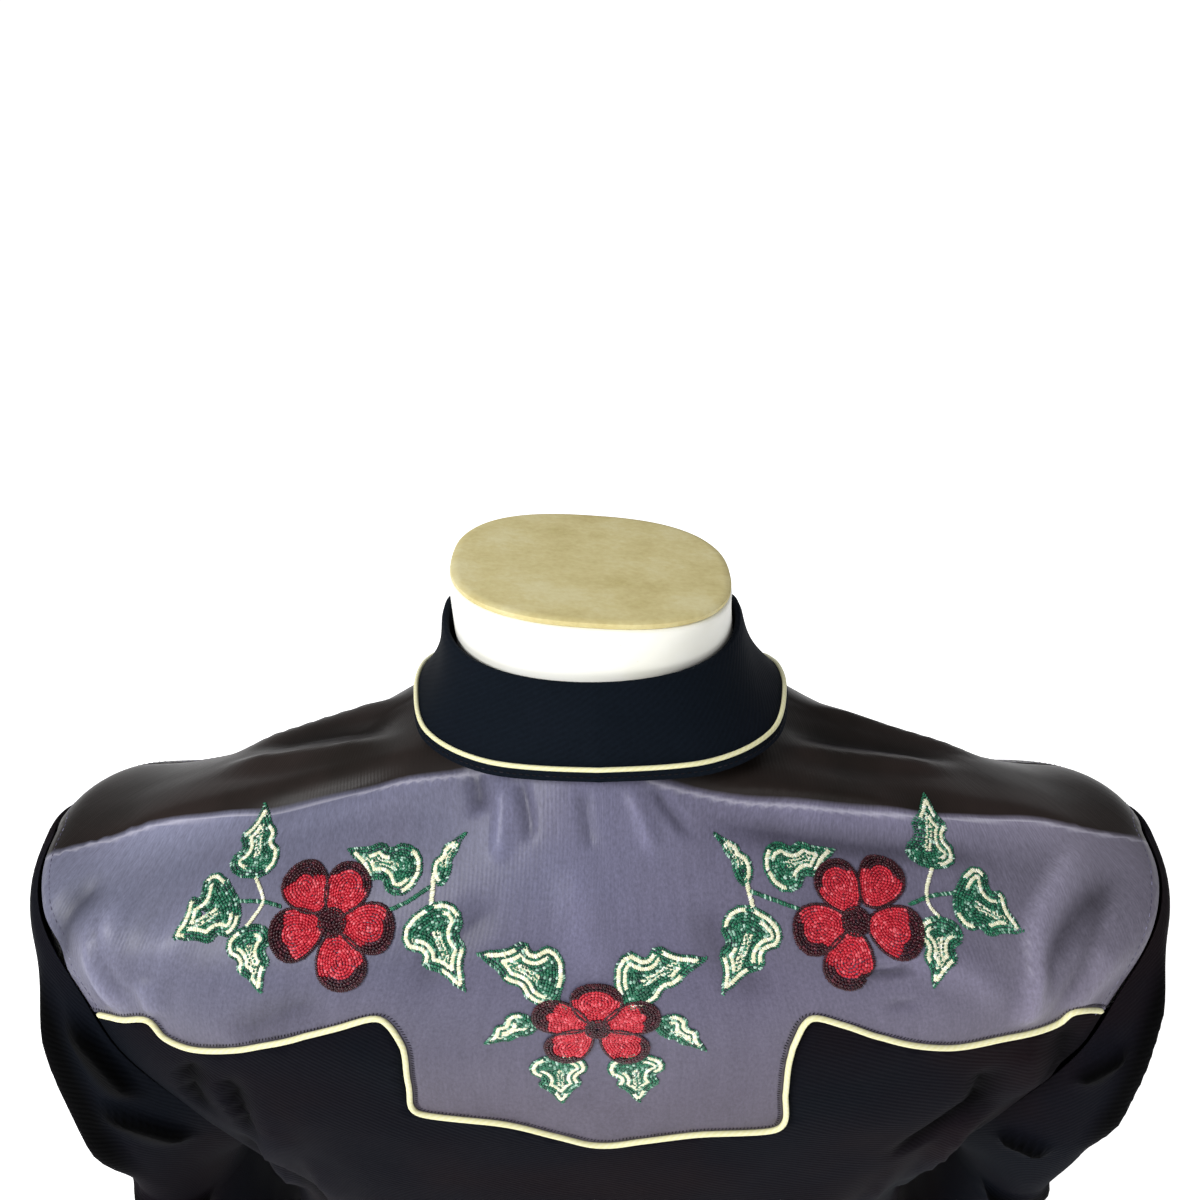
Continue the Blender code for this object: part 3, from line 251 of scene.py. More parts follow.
RIGHT_SLEEVE_CREASES = (
    (-0.0050, 0.008, 0.4, ((64.0, 1.9), (72.0, 1.5), (82.0, 1.1), (92.0, 0.8))),
    (-0.0060, 0.010, 0.4, ((104.0, 2.5), (110.0, 2.0), (118.0, 1.3), (124.0, 0.8))),
    (-0.0076, 0.012, 0.3, ((30.0, 1.1), (52.0, 1.8), (72.0, 2.6), (86.0, 3.2))),
    (0.0058, 0.016, 0.0, ((16.0, 1.9), (42.0, 3.1), (70.0, 3.9), (98.0, 4.4))),
    (-0.0071, 0.012, 0.3, ((80.0, 4.4), (97.0, 4.5), (118.0, 4.2), (138.0, 3.6))),
    (0.0051, 0.014, 0.0, ((44.0, 5.3), (78.0, 5.6), (116.0, 5.3))),
    (0.0044, 0.014, 0.2, ((-24.0, 1.8), (-54.0, 3.0), (-88.0, 4.2))),
    (-0.0044, 0.013, 0.0, ((-24.0, 3.4), (-62.0, 4.6), (-98.0, 5.2))),
    (0.0051, 0.015, 0.2, ((-4.0, 6.5), (40.0, 7.3), (88.0, 7.6))),
    (-0.0044, 0.013, 0.0, ((-90.0, 7.0), (-40.0, 8.9), (14.0, 9.6))),
    (0.0048, 0.014, 0.2, ((84.0, 9.3), (36.0, 10.2), (-14.0, 10.7))),
    (0.0044, 0.013, 0.2, ((-90.0, 9.8), (-44.0, 11.1), (6.0, 11.8))),
    (-0.0041, 0.011, 0.0, ((94.0, 11.1), (50.0, 12.0), (4.0, 12.6))),
)


# The right sleeve is slimmer than the left one at its elbow, in metres
RIGHT_SLEEVE_SLIM = 0.010


# Curves and the body's surface


def run_lengths(line):
    """How far along a line of points each of them lies."""
    return np.concatenate([[0.0], np.cumsum(np.linalg.norm(np.diff(line, axis=0), axis=1))])


def between_rows(rows, place):
    """Rows of a table read at places along it, on a smooth curve through them."""
    place = np.atleast_1d(place)
    last = len(rows) - 1
    index = np.clip(np.floor(place).astype(int), 0, last - 1)
    t = (place - index)[:, None]
    a, b = rows[np.maximum(index - 1, 0)], rows[index]
    c, d = rows[index + 1], rows[np.minimum(index + 2, last)]
    return 0.5 * (2 * b + (c - a) * t + (2 * a - 5 * b + 4 * c - d) * t**2 + (3 * b - a - 3 * c + d) * t**3)


def power(value, exponent):
    return np.sign(value) * np.abs(value) ** exponent


def ring_points(rings, angle):
    """One point on each ring, or all on one ring, at angles in degrees from the centre back."""
    rings = np.atleast_2d(rings)
    sine, cosine = np.sin(np.radians(angle)), np.cos(np.radians(angle))
    behind = cosine >= 0
    square = np.where(behind, rings[:, 7], rings[:, 8])
    y_far = np.where(behind, rings[:, 2], rings[:, 3])
    z_far = np.where(behind, rings[:, 5], rings[:, 6])
    return np.stack([
        rings[:, 0] * power(sine, 2 / square),
        rings[:, 1] + (y_far - rings[:, 1]) * np.abs(cosine) ** (2 / square),
        TIP_HEIGHT + rings[:, 4] + (z_far - rings[:, 4]) * cosine**2,
    ], axis=1)


def unit(vectors):
    return vectors / np.maximum(np.linalg.norm(vectors, axis=-1, keepdims=True), 1e-12)


def plain_points(places):
    return ring_points(between_rows(BODY_RINGS, places[:, 1]), places[:, 0])


def plain_normals(places):
    angle, level = places[:, 0], places[:, 1]
    low, high = np.maximum(level - 0.02, 0.0), np.minimum(level + 0.02, HEM_LEVEL)
    round_it = plain_points(np.stack([angle + 1, level], 1)) - plain_points(np.stack([angle - 1, level], 1))
    down_it = plain_points(np.stack([angle, high], 1)) - plain_points(np.stack([angle, low], 1))
    return unit(np.cross(round_it, down_it))


def bump(offset, half_width):
    share = np.minimum(np.abs(offset) / half_width, 1.0)
    return (1.0 - share * share) ** 2


def fold_heights(places):
    """The soft folds that the frame's panels have too."""
    angle, level = places[:, 0], places[:, 1]
    total = np.zeros(len(places))
    for angle_1, level_1, angle_2, level_2, half_width, height in BODY_FOLDS:
        share = (level - level_1) / (level_2 - level_1)
        middle = angle_1 + (angle_2 - angle_1) * np.clip(share, 0.0, 1.0)
        aside = np.radians((angle - middle + 180.0) % 360.0 - 180.0) * NOMINAL_RADIUS
        along = bump(share - 0.5, 0.75)
        if level_2 == HEM_LEVEL:
            along = np.where(share >= 0.6, 1.0, bump(share - 0.6, 0.8))
        total += height * along * bump(aside, half_width * 1.6)
    return total


def ripple(points):
    """Cloth is never quite flat: waves of 25 to 80 mm in mixed directions, under half a millimetre."""
    draw = np.random.default_rng(7)
    total = np.zeros(len(points))
    for _ in range(16):
        direction = unit(draw.normal(size=3))
        length = draw.uniform(0.025, 0.080)
        total += np.sin(points @ direction * (2 * math.pi / length) + draw.uniform(0, 6.28)) * length
    return total * 0.0016


def crease_heights(points, normals, creases, surface):
    """How far creases lift points off a surface. A crease fades towards its ends."""
    total = np.zeros(len(points))
    for height, half_width, lean, places in creases:
        line = surface(smooth_line(np.array(places, float), 0.25, count=4 * len(places)))
        reach = half_width * (1 + lean)
        near = ((points > line.min(0) - reach) & (points < line.max(0) + reach)).all(1)
        if not near.any():
            continue
        spots, facing = points[near], normals[near]
        run = run_lengths(line)
        length = np.diff(run)
        best = np.full(len(spots), 9.0)
        share, side = np.zeros(len(spots)), np.zeros(len(spots))
        for k in range(len(length)):
            along = (line[k + 1] - line[k]) / length[k]
            t = np.clip((spots - line[k]) @ along, 0.0, length[k])
            aside = spots - line[k] - t[:, None] * along
            far = np.linalg.norm(aside, axis=1)
            closer = far < best
            best = np.where(closer, far, best)
            share = np.where(closer, (run[k] + t) / run[-1], share)
            side = np.where(closer, np.sign((np.cross(facing, along) * aside).sum(1)), side)
        offset = np.minimum(best / (half_width * (1 + lean * side)), 1.0)
        profile = (1 - offset) ** 2 * (1 + 1.2 * offset)
        ends = np.clip(np.minimum(share, 1 - share) / 0.30, 0.0, 1.0)
        total[near] += height * profile * ends * ends * (3 - 2 * ends)
    return total


def cloth_points(places, lift=0.0):
    """Points on the worn body cloth, moved outwards by lift."""
    places = np.atleast_2d(np.asarray(places, float))
    points, normals = plain_points(places), plain_normals(places)
    height = fold_heights(places) + ripple(points) + crease_heights(points, normals, CREASES, plain_points)
    return points + normals * (height + lift)[:, None]


def smooth_line(corners, step, count=None):
    """Points along a smooth curve through corners, step apart or count of them in all."""
    corners = np.asarray(corners, float)
    gaps = np.maximum(np.linalg.norm(np.diff(corners, axis=0), axis=1), 1e-9)
    first, last = corners[0] * 2 - corners[1], corners[-1] * 2 - corners[-2]
    padded = np.vstack([first, corners, last])
    knots = np.concatenate([[0.0], np.cumsum(np.sqrt(np.concatenate([gaps[:1], gaps, gaps[-1:]])))])
    dense = []
    for k in range(1, len(padded) - 2):
        a, b, c, d = padded[k - 1:k + 3]
        ta, tb, tc, td = knots[k - 1:k + 3]
        t = np.linspace(tb, tc, 24, endpoint=k == len(padded) - 3)[:, None]
        ab, bc, cd = mix(a, b, ta, tb, t), mix(b, c, tb, tc, t), mix(c, d, tc, td, t)
        dense.append(mix(mix(ab, bc, ta, tc, t), mix(bc, cd, tb, td, t), tb, tc, t))
    return resampled(np.vstack(dense), step, count)


def mix(start, end, t_start, t_end, t):
    return start + (end - start) * ((t - t_start) / (t_end - t_start))


def resampled(line, step, count=None):
    run = run_lengths(line)
    count = count or max(2, int(round(run[-1] / step)) + 1)
    where = np.linspace(0.0, run[-1], count)
    return np.stack([np.interp(where, run, line[:, k]) for k in range(line.shape[1])], axis=1)


# Cloth laid flat: length round the body and length down it

NOMINAL_RING = np.array((0.200, 0.0, 0.105, -0.105, 0.0, 0.0, 0.0, 2.5, 2.4))
TABLE_ANGLES = 90.0 * (1 - np.cos(np.linspace(0.0, math.pi, 6001)))
TABLE_ARCS = run_lengths(ring_points(NOMINAL_RING, TABLE_ANGLES))
HALF_ROUND = TABLE_ARCS[-1]
LEVELS = np.arange(len(BODY_RINGS))
DOWN = run_lengths(ring_points(BODY_RINGS, np.full(len(BODY_RINGS), 45.0)))


def arc_of(angle):
    size = np.abs(angle)
    arc = np.where(
        size <= 180.0,
        np.interp(size, TABLE_ANGLES, TABLE_ARCS),
        2 * HALF_ROUND - np.interp(360.0 - size, TABLE_ANGLES, TABLE_ARCS),
    )
    return np.sign(angle) * arc


def angle_of(arc):
    size = np.abs(arc)
    angle = np.where(
        size <= HALF_ROUND,
        np.interp(size, TABLE_ARCS, TABLE_ANGLES),
        360.0 - np.interp(2 * HALF_ROUND - size, TABLE_ARCS, TABLE_ANGLES),
    )
    return np.sign(arc) * angle


def flat_of(places):
    return np.stack([arc_of(places[:, 0]), -np.interp(places[:, 1], LEVELS, DOWN)], axis=1)


def places_of(flat):
    return np.stack([angle_of(flat[:, 0]), np.interp(-flat[:, 1], DOWN, LEVELS)], axis=1)


def cloth_uv(places):
    """Metres across and down the cloth, for its weave."""
    width = between_rows(BODY_RINGS, places[:, 1])[:, 0] / NOMINAL_RING[0]
    flat = flat_of(places)
    return np.stack([flat[:, 0] * width, flat[:, 1]], axis=1)


def places_on_body(across, height, front=False):
    """The places that far from the centre line and that high above the tips."""
    across, height = np.atleast_1d(across).astype(float), np.atleast_1d(height).astype(float)
    level = np.full(len(across), 5.0)
    for _ in range(12):
        ring = between_rows(BODY_RINGS, level)
        share = np.minimum(np.abs(across) / ring[:, 0], 1.0) ** (ring[:, 8 if front else 7] / 2)
        angle = np.degrees(np.arcsin(share))
        turned = 180.0 - angle if front else angle
        low, high = np.zeros(len(across)), np.full(len(across), HEM_LEVEL)
        for _ in range(40):
            level = (low + high) / 2
            above = plain_points(np.stack([turned, level], 1))[:, 2] - TIP_HEIGHT > height
            low, high = np.where(above, level, low), np.where(above, high, level)
    return np.stack([np.where(across < 0, -turned, turned), level], axis=1)


# Seams, as lists of places


def armhole_places(stations, side):
    turn = 2 * math.pi * np.asarray(stations, float) / ARMHOLE_STATIONS
    share = (1 - np.cos(turn)) / 2
    front = ARMHOLE_OPENING * np.maximum(np.sin(math.pi * share**1.4), 0.0) ** 0.75
    back = between_rows(BACK_OPENING, np.asarray(stations, float) % ARMHOLE_STATIONS)[:, 0]
    angle = 90.0 - np.where(np.sin(turn) > 0, back, -front)
    return np.stack([side * angle, ARMHOLE_TOP_LEVEL + (UNDERARM_LEVEL - ARMHOLE_TOP_LEVEL) * share], 1)


def armhole_run(first, last, side):
    return armhole_places(np.linspace(first, last, 60), side)


def straight_run(start, end):
    return np.linspace(start, end, 60)


def counted_on(places, side):
    """The right side's places counted on from the front."""
    return places if side > 0 else np.stack([places[:, 0] % 360.0, places[:, 1]], 1)


def front_edge_places(levels):
    rings = between_rows(BODY_RINGS, levels)
    share = (PLACKET_HALF_WIDTH / rings[:, 0]) ** (rings[:, 8] / 2)
    return np.stack([180.0 - np.degrees(np.arcsin(share)), levels], axis=1)


def back_yoke_line():
    left = places_on_body(BACK_YOKE_EDGE[:, 0], BACK_YOKE_EDGE[:, 1])
    right = places_on_body(-BACK_YOKE_EDGE[:-1, 2], BACK_YOKE_EDGE[:-1, 3])
    ends = [armhole_places([BACK_YOKE_STATION], side) for side in (1, -1)]
    corners = flat_of(np.vstack([ends[0], left, right[::-1], ends[1]]))
    return places_of(smooth_line(corners, 0.0015))


def front_yoke_line(side):
    places = places_on_body(side * FRONT_YOKE_EDGE[:, 0], FRONT_YOKE_EDGE[:, 1], front=True)
    corners = np.vstack([armhole_places([FRONT_YOKE_STATION], side), places])
    corners = counted_on(corners, side)
    end = front_edge_places(np.array([corners[-1, 1] - 0.15]))
    return places_of(smooth_line(flat_of(np.vstack([corners, end])), 0.0015))


def shoulder_seam(side):
    end = armhole_places([SHOULDER_SEAM_STATION], side)[0]
    return straight_run((side * SHOULDER_SEAM_ANGLE, 0.0), end)


# Meshes and pieces


def new_mesh(name, points, faces, uv=None):
    mesh = bpy.data.meshes.new(name)
    mesh.from_pydata([tuple(p) for p in points], [], [tuple(int(k) for k in f) for f in faces])
    if uv is not None:
        layer = mesh.uv_layers.new(name="cloth")
        loops = np.empty(len(mesh.loops), np.int32)
        mesh.loops.foreach_get("vertex_index", loops)
        layer.data.foreach_set("uv", np.asarray(uv, np.float32)[loops].ravel())
    mesh.shade_smooth()
    return mesh


def place_piece(name, mesh, material):
    if "crease" not in mesh.attributes:
        record_creases(mesh, np.zeros(len(mesh.vertices)))
    mesh.materials.append(material)
    obj = bpy.data.objects.new(name, mesh)
    bpy.context.scene.collection.objects.link(obj)
    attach(obj, "root")
    return obj


def thicken(obj, thickness):
    solid = obj.modifiers.new("wall", "SOLIDIFY")
    solid.thickness = thickness
    solid.offset = 0.0
    solid.use_even_offset = True
    solid.thickness_clamp = 1.5
    return obj


def inside(points, outline):
    ends = np.roll(outline, -1, axis=0)
    hits = np.zeros(len(points), int)
    for start, end in zip(outline, ends):
        crosses = (start[1] > points[:, 1]) != (end[1] > points[:, 1])
        if crosses.any():
            reach = start[0] + (points[:, 1] - start[1]) * (end[0] - start[0]) / (end[1] - start[1])
            hits += crosses & (points[:, 0] < reach)
    return hits % 2 == 1


def far_from(points, outline, distance):
    clear = np.ones(len(points), bool)
    for spot in outline:
        clear &= np.abs(points - spot).max(1) > distance
    return clear


def joined(runs, step):
    """Runs of places end to end as one flat outline, evenly stepped along each run."""
    flat = [resampled(flat_of(run), step)[:-1] for run in runs]
    return np.vstack(flat)


def inset(outline, distance):
    """The outline drawn in by a seam's half gap."""
    ahead, behind = np.roll(outline, -1, axis=0), np.roll(outline, 1, axis=0)
    along = unit(ahead - behind)
    inward = np.stack([-along[:, 1], along[:, 0]], axis=1)
    x, y = outline[:, 0], outline[:, 1]
    area = (x * np.roll(y, -1) - np.roll(x, -1) * y).sum()
    return outline + inward * distance * (1 if area > 0 else -1)


def cut_panel(runs, step, height=cloth_points):
    """A panel cut out of the body's cloth along runs of seams: its points, faces and places."""
    outline = inset(joined(runs, step), SEAM_GAP / 2)
    low, high = outline.min(0), outline.max(0)
    row_step = step * 0.87
    rows, columns = int((high[1] - low[1]) / row_step), int((high[0] - low[0]) / step) + 2
    grid = np.array([
        (low[0] + step * (column + 0.5 * (row % 2)), high[1] - row_step * (row + 0.5))
        for row in range(rows) for column in range(columns)
    ])
    grid = grid[inside(grid, outline)]
    grid = grid[far_from(grid, outline, step * 0.5)]
    spots = [Vector(p) for p in np.vstack([outline, grid])]
    flat, _, faces, *_ = delaunay_2d_cdt(spots, [], [list(range(len(outline)))], 1, 1e-7)
    flat, faces = np.array([tuple(p) for p in flat]), np.array(faces)
    places = places_of(flat)
    points = height(places)
    corners = points[faces]
    facing = np.cross(corners[:, 1] - corners[:, 0], corners[:, 2] - corners[:, 0])
    normals = plain_normals(places)[faces[:, 0]]
    turned = (facing * normals).sum(1) < 0
    faces[turned] = faces[turned][:, ::-1]
    return points, faces, places


def record_creases(mesh, height):
    """Keeps how far the cloth is creased out or in, from 0 to 1, for the painted shade and light in its colour.
    """
    layer = mesh.attributes.new("crease", "FLOAT", "POINT")
    layer.data.foreach_set("value", np.clip(0.5 + height / CREASE_RANGE, 0.0, 1.0).astype(np.float32))


def grid_faces(rows, columns, closed, flip=False):
    last = columns if closed else columns - 1
    down, across = np.meshgrid(np.arange(rows - 1), np.arange(last), indexing="ij")
    nxt = (across + 1) % columns
    faces = np.stack([
        down * columns + across, down * columns + nxt,
        (down + 1) * columns + nxt, (down + 1) * columns + across,
    ], axis=-1).reshape(-1, 4)
    return faces[:, ::-1] if flip else faces


def tube_mesh(name, line, normals, radius, sides=10):
    """A closed round tube along a line, with rounded ends; u runs along it and v round it."""
    along = unit(np.gradient(line, axis=0))
    across = unit(np.cross(along, normals))
    up = np.cross(across, along)
    turns = np.linspace(0.0, 2 * math.pi, sides, endpoint=False)
    around = np.cos(turns)[None, :, None] * across[:, None] + np.sin(turns)[None, :, None] * up[:, None]
    size = np.full(len(line), radius)
    size[0] = size[-1] = radius * 0.55
    points = (line[:, None] + around * size[:, None, None]).reshape(-1, 3)
    run = run_lengths(line)
    uv = np.stack([np.repeat(run, sides), np.tile(turns / (2 * math.pi), len(line))], axis=1)
    faces = grid_faces(len(line), sides, True)
    count = len(points)
    points = np.vstack([points, line[0] - along[0] * radius * 0.4, line[-1] + along[-1] * radius * 0.4])
    uv = np.vstack([uv, uv[0], uv[-1]])
    start = [(count, (k + 1) % sides, k) for k in range(sides)]
    base = (len(line) - 1) * sides
    end = [(count + 1, base + k, base + (k + 1) % sides) for k in range(sides)]
    mesh = new_mesh(name, points, list(map(tuple, faces)) + start + end, uv)
    face_outwards(mesh)
    return mesh


def face_outwards(mesh):
    made = bmesh.new()
    made.from_mesh(mesh)
    bmesh.ops.recalc_face_normals(made, faces=made.faces)
    made.to_mesh(mesh)
    made.free()
    mesh.shade_smooth()


# Materials


def linear(code):
    """An sRGB hex colour as linear red, green, blue and alpha."""
    values = [int(code[k:k + 2], 16) / 255 for k in (1, 3, 5)]
    return tuple(
        v / 12.92 if v <= 0.04045 else ((v + 0.055) / 1.055) ** 2.4 for v in values) + (1.0,)


def as_colour(colour):
    """A colour given as a hex code, as a linear grey, or as a colour or a socket already."""
    if isinstance(colour, str):
        return linear(colour)
    return (colour, colour, colour, 1.0) if isinstance(colour, float) else colour


def add(tree, kind, inputs=(), **settings):
    """Adds a node with its settings; an input is given a value or linked from a socket."""
    made = tree.nodes.new(kind)
    for name, value in settings.items():
        setattr(made, name, value)
    for name, value in dict(inputs).items():
        if isinstance(value, bpy.types.NodeSocket):
            tree.links.new(value, made.inputs[name])
        else:
            made.inputs[name].default_value = value
    return made


def ramp(tree, value, *stops):
    """Colours at positions of a value: the two ends first, then those between."""
    made = add(tree, "ShaderNodeValToRGB", {"Fac": value})
    elements = made.color_ramp.elements
    for k, (position, colour) in enumerate(stops):
        element = elements[k] if k < 2 else elements.new(position)
        element.position, element.color = position, as_colour(colour)
    return made.outputs["Color"]


def blended(tree, factor, first, second, blend_type="MIX"):
    made = add(tree, "ShaderNodeMix", {0: factor, 6: as_colour(first), 7: as_colour(second)},
               data_type="RGBA", blend_type=blend_type)
    return made.outputs[2]


def overlaid(tree, amount, colour, value, dark, light):
    """A colour made darker and lighter by a value; dark and light are (value, grey)."""
    return blended(tree, amount, colour, ramp(tree, value, dark, light), "OVERLAY")


def noise(tree, vector, scale, detail, roughness=0.5, distortion=0.0):
    return add(tree, "ShaderNodeTexNoise", {
        "Vector": vector, "Scale": scale, "Detail": detail, "Roughness": roughness,
        "Distortion": distortion}).outputs["Fac"]


def scaled(tree, vector, scale):
    return add(tree, "ShaderNodeMapping", {"Vector": vector, "Scale": scale}).outputs[0]


def mapped(tree, value, low, high, to_low=0.0, to_high=1.0):
    return add(tree, "ShaderNodeMapRange", {
        "Value": value, "From Min": low, "From Max": high, "To Min": to_low, "To Max": to_high,
    }).outputs[0]


def bumped(tree, height, strength, distance, **others):
    return add(tree, "ShaderNodeBump", {
        "Height": height, "Strength": strength, "Distance": distance, **others}).outputs["Normal"]


def attribute(tree, name):
    return add(tree, "ShaderNodeAttribute", attribute_name=name).outputs["Fac"]


def cloth_place(tree):
    return add(tree, "ShaderNodeUVMap", uv_map="cloth").outputs[0]


def object_place(tree):
    return add(tree, "ShaderNodeTexCoord").outputs["Object"]


def new_material(name, **values):
    """A material's tree and its shader, with the uniform values set on the shader's sockets."""
    material = bpy.data.materials.new(name)
    material.use_nodes = True
    shader = material.node_tree.nodes["Principled BSDF"]
    for socket, value in values.items():
        shader.inputs[socket.replace("_", " ")].default_value = as_colour(value) if (
            isinstance(value, str)) else value
    return material, material.node_tree, shader


def with_nodes(material, shader, **sockets):
    """The material, with sockets of its tree linked into its shader."""
    for name, socket in sockets.items():
        material.node_tree.links.new(socket, shader.inputs[name.replace("_", " ")])
    return material


def creased(tree, colour, strength, tones=(0.12, 0.50, 0.88), blend_type="OVERLAY"):
    """Painted shade and light over the cloth's creases: its colour darker in the hollows, lighter on the raised
    folds.
    """
    hollow, flat, raised = tones
    tone = ramp(tree, attribute(tree, "crease"), (0.0, hollow), (1.0, raised), (0.5, flat))
    return blended(tree, strength, colour, tone, blend_type)


def weave(tree, vector, pitch, turn, strength, distance):
    """Fine ribs across the cloth, as a bump and as a value; pitch is metres from rib to rib."""
    turned = add(tree, "ShaderNodeMapping", {"Vector": vector, "Rotation": (0.0, 0.0, turn)})
    # The wave turns through 20 radians in a metre for each 1.0 of its scale
    ribs = add(tree, "ShaderNodeTexWave", {
        "Vector": turned.outputs[0], "Scale": math.pi / (10 * pitch), "Distortion": 0.4,
        "Detail": 1.0, "Detail Scale": 2.0,
    }, wave_type="BANDS", bands_direction="X").outputs["Fac"]
    return bumped(tree, ribs, strength, distance), ribs


def satin_yoke():
    """Acetate satin, woven: grey-blue behind, with painted shade in brown where it turns over the shoulder, away
    from the light.
    """
    material, tree, shader = new_material(
        "acetate_satin_woven_shoulder_shade_painted", Roughness=0.43, IOR=1.47, Specular_IOR_Level=0.26,
        Sheen_Weight=0.02, Sheen_Roughness=0.35, Sheen_Tint="#c8c6e0")
    uv, place, crest = cloth_place(tree), object_place(tree), attribute(tree, "over_shoulder")
    # The float of the warp: streaks a few millimetres wide that run down the cloth
    streaks = noise(tree, scaled(tree, uv, (260.0, 34.0, 1.0)), 1.0, 4.0, 0.62)
    patches = noise(tree, place, 22.0, 3.0, 0.55)
    threads = noise(tree, scaled(tree, uv, (900.0, 420.0, 1.0)), 1.0, 2.0, 0.7)
    x, _, z = add(tree, "ShaderNodeSeparateXYZ", {"Vector": place}).outputs
    # Painted light and shade across the yoke: lighter towards its ends, bluest at the left end nearest the key
    # light, darker through the middle
    colour = ramp(
        tree, mapped(tree, x, -0.20, 0.20), (0.0, "#74727f"), (1.0, "#757c92"), (0.20, "#737188"),
        (0.36, "#64627a"), (0.50, "#656680"), (0.68, "#5f6278"), (0.82, "#686c82"))
    # Painted shade: darker and redder lower down the yoke, towards its point at the middle of the back
    dull = blended(tree, 0.90, colour, "#3c3241")
    colour = blended(tree, mapped(tree, z, 0.690, 0.800), dull, colour)
    blotches = add(tree, "ShaderNodeMath", {0: patches, 1: 0.65}, operation="MULTIPLY").outputs[0]
    colour = blended(tree, blotches, colour, "#6a6577")
    colour = overlaid(tree, 0.55, colour, streaks, (0.30, 0.42), (0.70, 0.58))
    colour = overlaid(tree, 0.50, colour, threads, (0.30, 0.34), (0.70, 0.68))
    # A painted highlight along the crest, then painted shade in brown in front of it, where the satin turns over
    # the shoulder away from the light
    crest_highlight = ramp(tree, crest, (0.0, 0.0), (0.26, 0.0), (0.07, 0.55))
    colour = blended(tree, crest_highlight, colour, "#a9a7b4")
    brown = ramp(tree, patches, (0.35, "#110c09"), (0.65, "#1d1614"))
    colour = blended(tree, ramp(tree, crest, (0.04, 0.0), (0.60, 1.0)), colour, brown)
    # Painted shade in the creases' hollows and painted light on their raised folds
    colour = creased(tree, colour, 0.85)
    # Satin ribs are near 0.2 mm; they are drawn at 1.7 mm so that they show
    normal, _ = weave(tree, uv, 0.0017136, 0.0, 0.14, 0.0002)
    return with_nodes(material, shader, Base_Color=colour,
                      Normal=bumped(tree, streaks, 0.20, 0.0005, Normal=normal))


def gabardine(name, hexes, specular):
    """Worsted gabardine, twill woven: a matt black with a faint steep diagonal line."""
    material, tree, shader = new_material(
        name, Roughness=0.78, IOR=1.5, Specular_IOR_Level=specular, Sheen_Weight=0.01,
        Sheen_Roughness=0.5, Sheen_Tint="#9a9cb0")
    place = object_place(tree)
    colour = ramp(tree, noise(tree, place, 9.0, 4.0),
                  (0.34, hexes[0]), (0.66, hexes[2]), (0.50, hexes[1]))
    # The twill line is near 0.4 mm; it is drawn at 2.1 mm so that it shows
    normal, ribs = weave(tree, cloth_place(tree), 0.0020944, math.radians(62.0), 0.35, 0.00025)
    colour = overlaid(tree, 0.30, colour, ribs, (0.2, 0.40), (0.8, 0.60))
    colour = overlaid(tree, 0.40, colour, noise(tree, place, 750.0, 2.0), (0.3, 0.35), (0.7, 0.65))
    # Painted shade: the creases' hollows near black, the raised folds left lighter
    colour = creased(tree, colour, 1.0, (0.03, 0.72, 1.0), "MULTIPLY")
    return with_nodes(material, shader, Base_Color=colour, Normal=normal)


def piping_satin():
    """Bias-cut satin over a cord: pale gold, with the weave running diagonally round it."""
    material, tree, shader = new_material(
        "bias_cut_satin_piping", Roughness=0.45, IOR=1.47, Specular_IOR_Level=0.35, Sheen_Weight=0.1)
    uv = cloth_place(tree)
    # u is in metres along the cord and v in turns round it, 8 mm to a turn
    even = scaled(tree, uv, (1.0, 0.008, 1.0))
    normal, ribs = weave(tree, even, 0.0020944, math.radians(45.0), 0.45, 0.00012)
    colour = ramp(tree, noise(tree, uv, 55.0, 3.0), (0.35, "#e2dda6"), (0.65, "#f6f3c8"))
    colour = overlaid(tree, 0.45, colour, ribs, (0.1, 0.38), (0.9, 0.62))
    return with_nodes(material, shader, Base_Color=colour, Normal=normal)


def twisted_thread(name, dark, middle, light, gloss=0.30, specular=0.40):
    """Twisted thread: each stitch a little lighter or darker, with a soft gleam."""
    material, tree, shader = new_material(
        name, Roughness=gloss, IOR=1.5, Specular_IOR_Level=specular)
    strands = noise(tree, object_place(tree), 1400.0, 2.0)
    # Each stitch's tone differs at random; the lightest stitches are painted glints of the thread's sheen
    colour = ramp(tree, attribute(tree, "tone"), (0.0, dark), (1.0, light), (0.80, middle))
    colour = overlaid(tree, 0.25, colour, strands, (0.3, 0.30), (0.7, 0.70))
    return with_nodes(material, shader, Base_Color=colour,
                      Normal=bumped(tree, strands, 0.3, 0.0002))


def pearl_cap():
    """Cast polyester pearl: cloudy white with soft bands under a clear gloss."""
    material, tree, shader = new_material(
        "cast_polyester_pearl", Roughness=0.22, IOR=1.54, Coat_Weight=0.5)
    clouds = noise(tree, object_place(tree), 260.0, 3.0, distortion=1.2)
    colour = ramp(tree, clouds, (0.30, "#b9b6ae"), (0.70, "#f4f1ea"), (0.50, "#d9d9dd"))
    return with_nodes(material, shader, Base_Color=colour)


def nickel_rim():
    """Nickel-plated brass, pressed: a bright ring with fine wear."""
    material, tree, shader = new_material(
        "nickel_plated_brass_pressed", Metallic=1.0, Base_Color="#c9c6be")
    wear = noise(tree, object_place(tree), 900.0, 3.0)
    return with_nodes(material, shader, Roughness=mapped(tree, wear, 0.0, 1.0, 0.18, 0.42))


def shell_paint():
    """Painted papier-mache shell: warm white, with faint rubs and specks."""
    material, tree, shader = new_material(
        "papier_mache_shell_painted", Roughness=0.5, IOR=1.5, Specular_IOR_Level=0.3)
    place = object_place(tree)
    rubs = noise(tree, place, 14.0, 5.0, 0.6)
    colour = ramp(tree, rubs, (0.30, "#f9f8ec"), (0.70, "#ffffff"), (0.52, "#fffff8"))
    specks = ramp(tree, noise(tree, place, 330.0, 2.0), (0.74, 0.0), (0.82, 0.8))
    colour = blended(tree, specks, colour, "#d8d2bb")
    return with_nodes(material, shader, Base_Color=colour, Normal=bumped(tree, rubs, 0.15, 0.001))


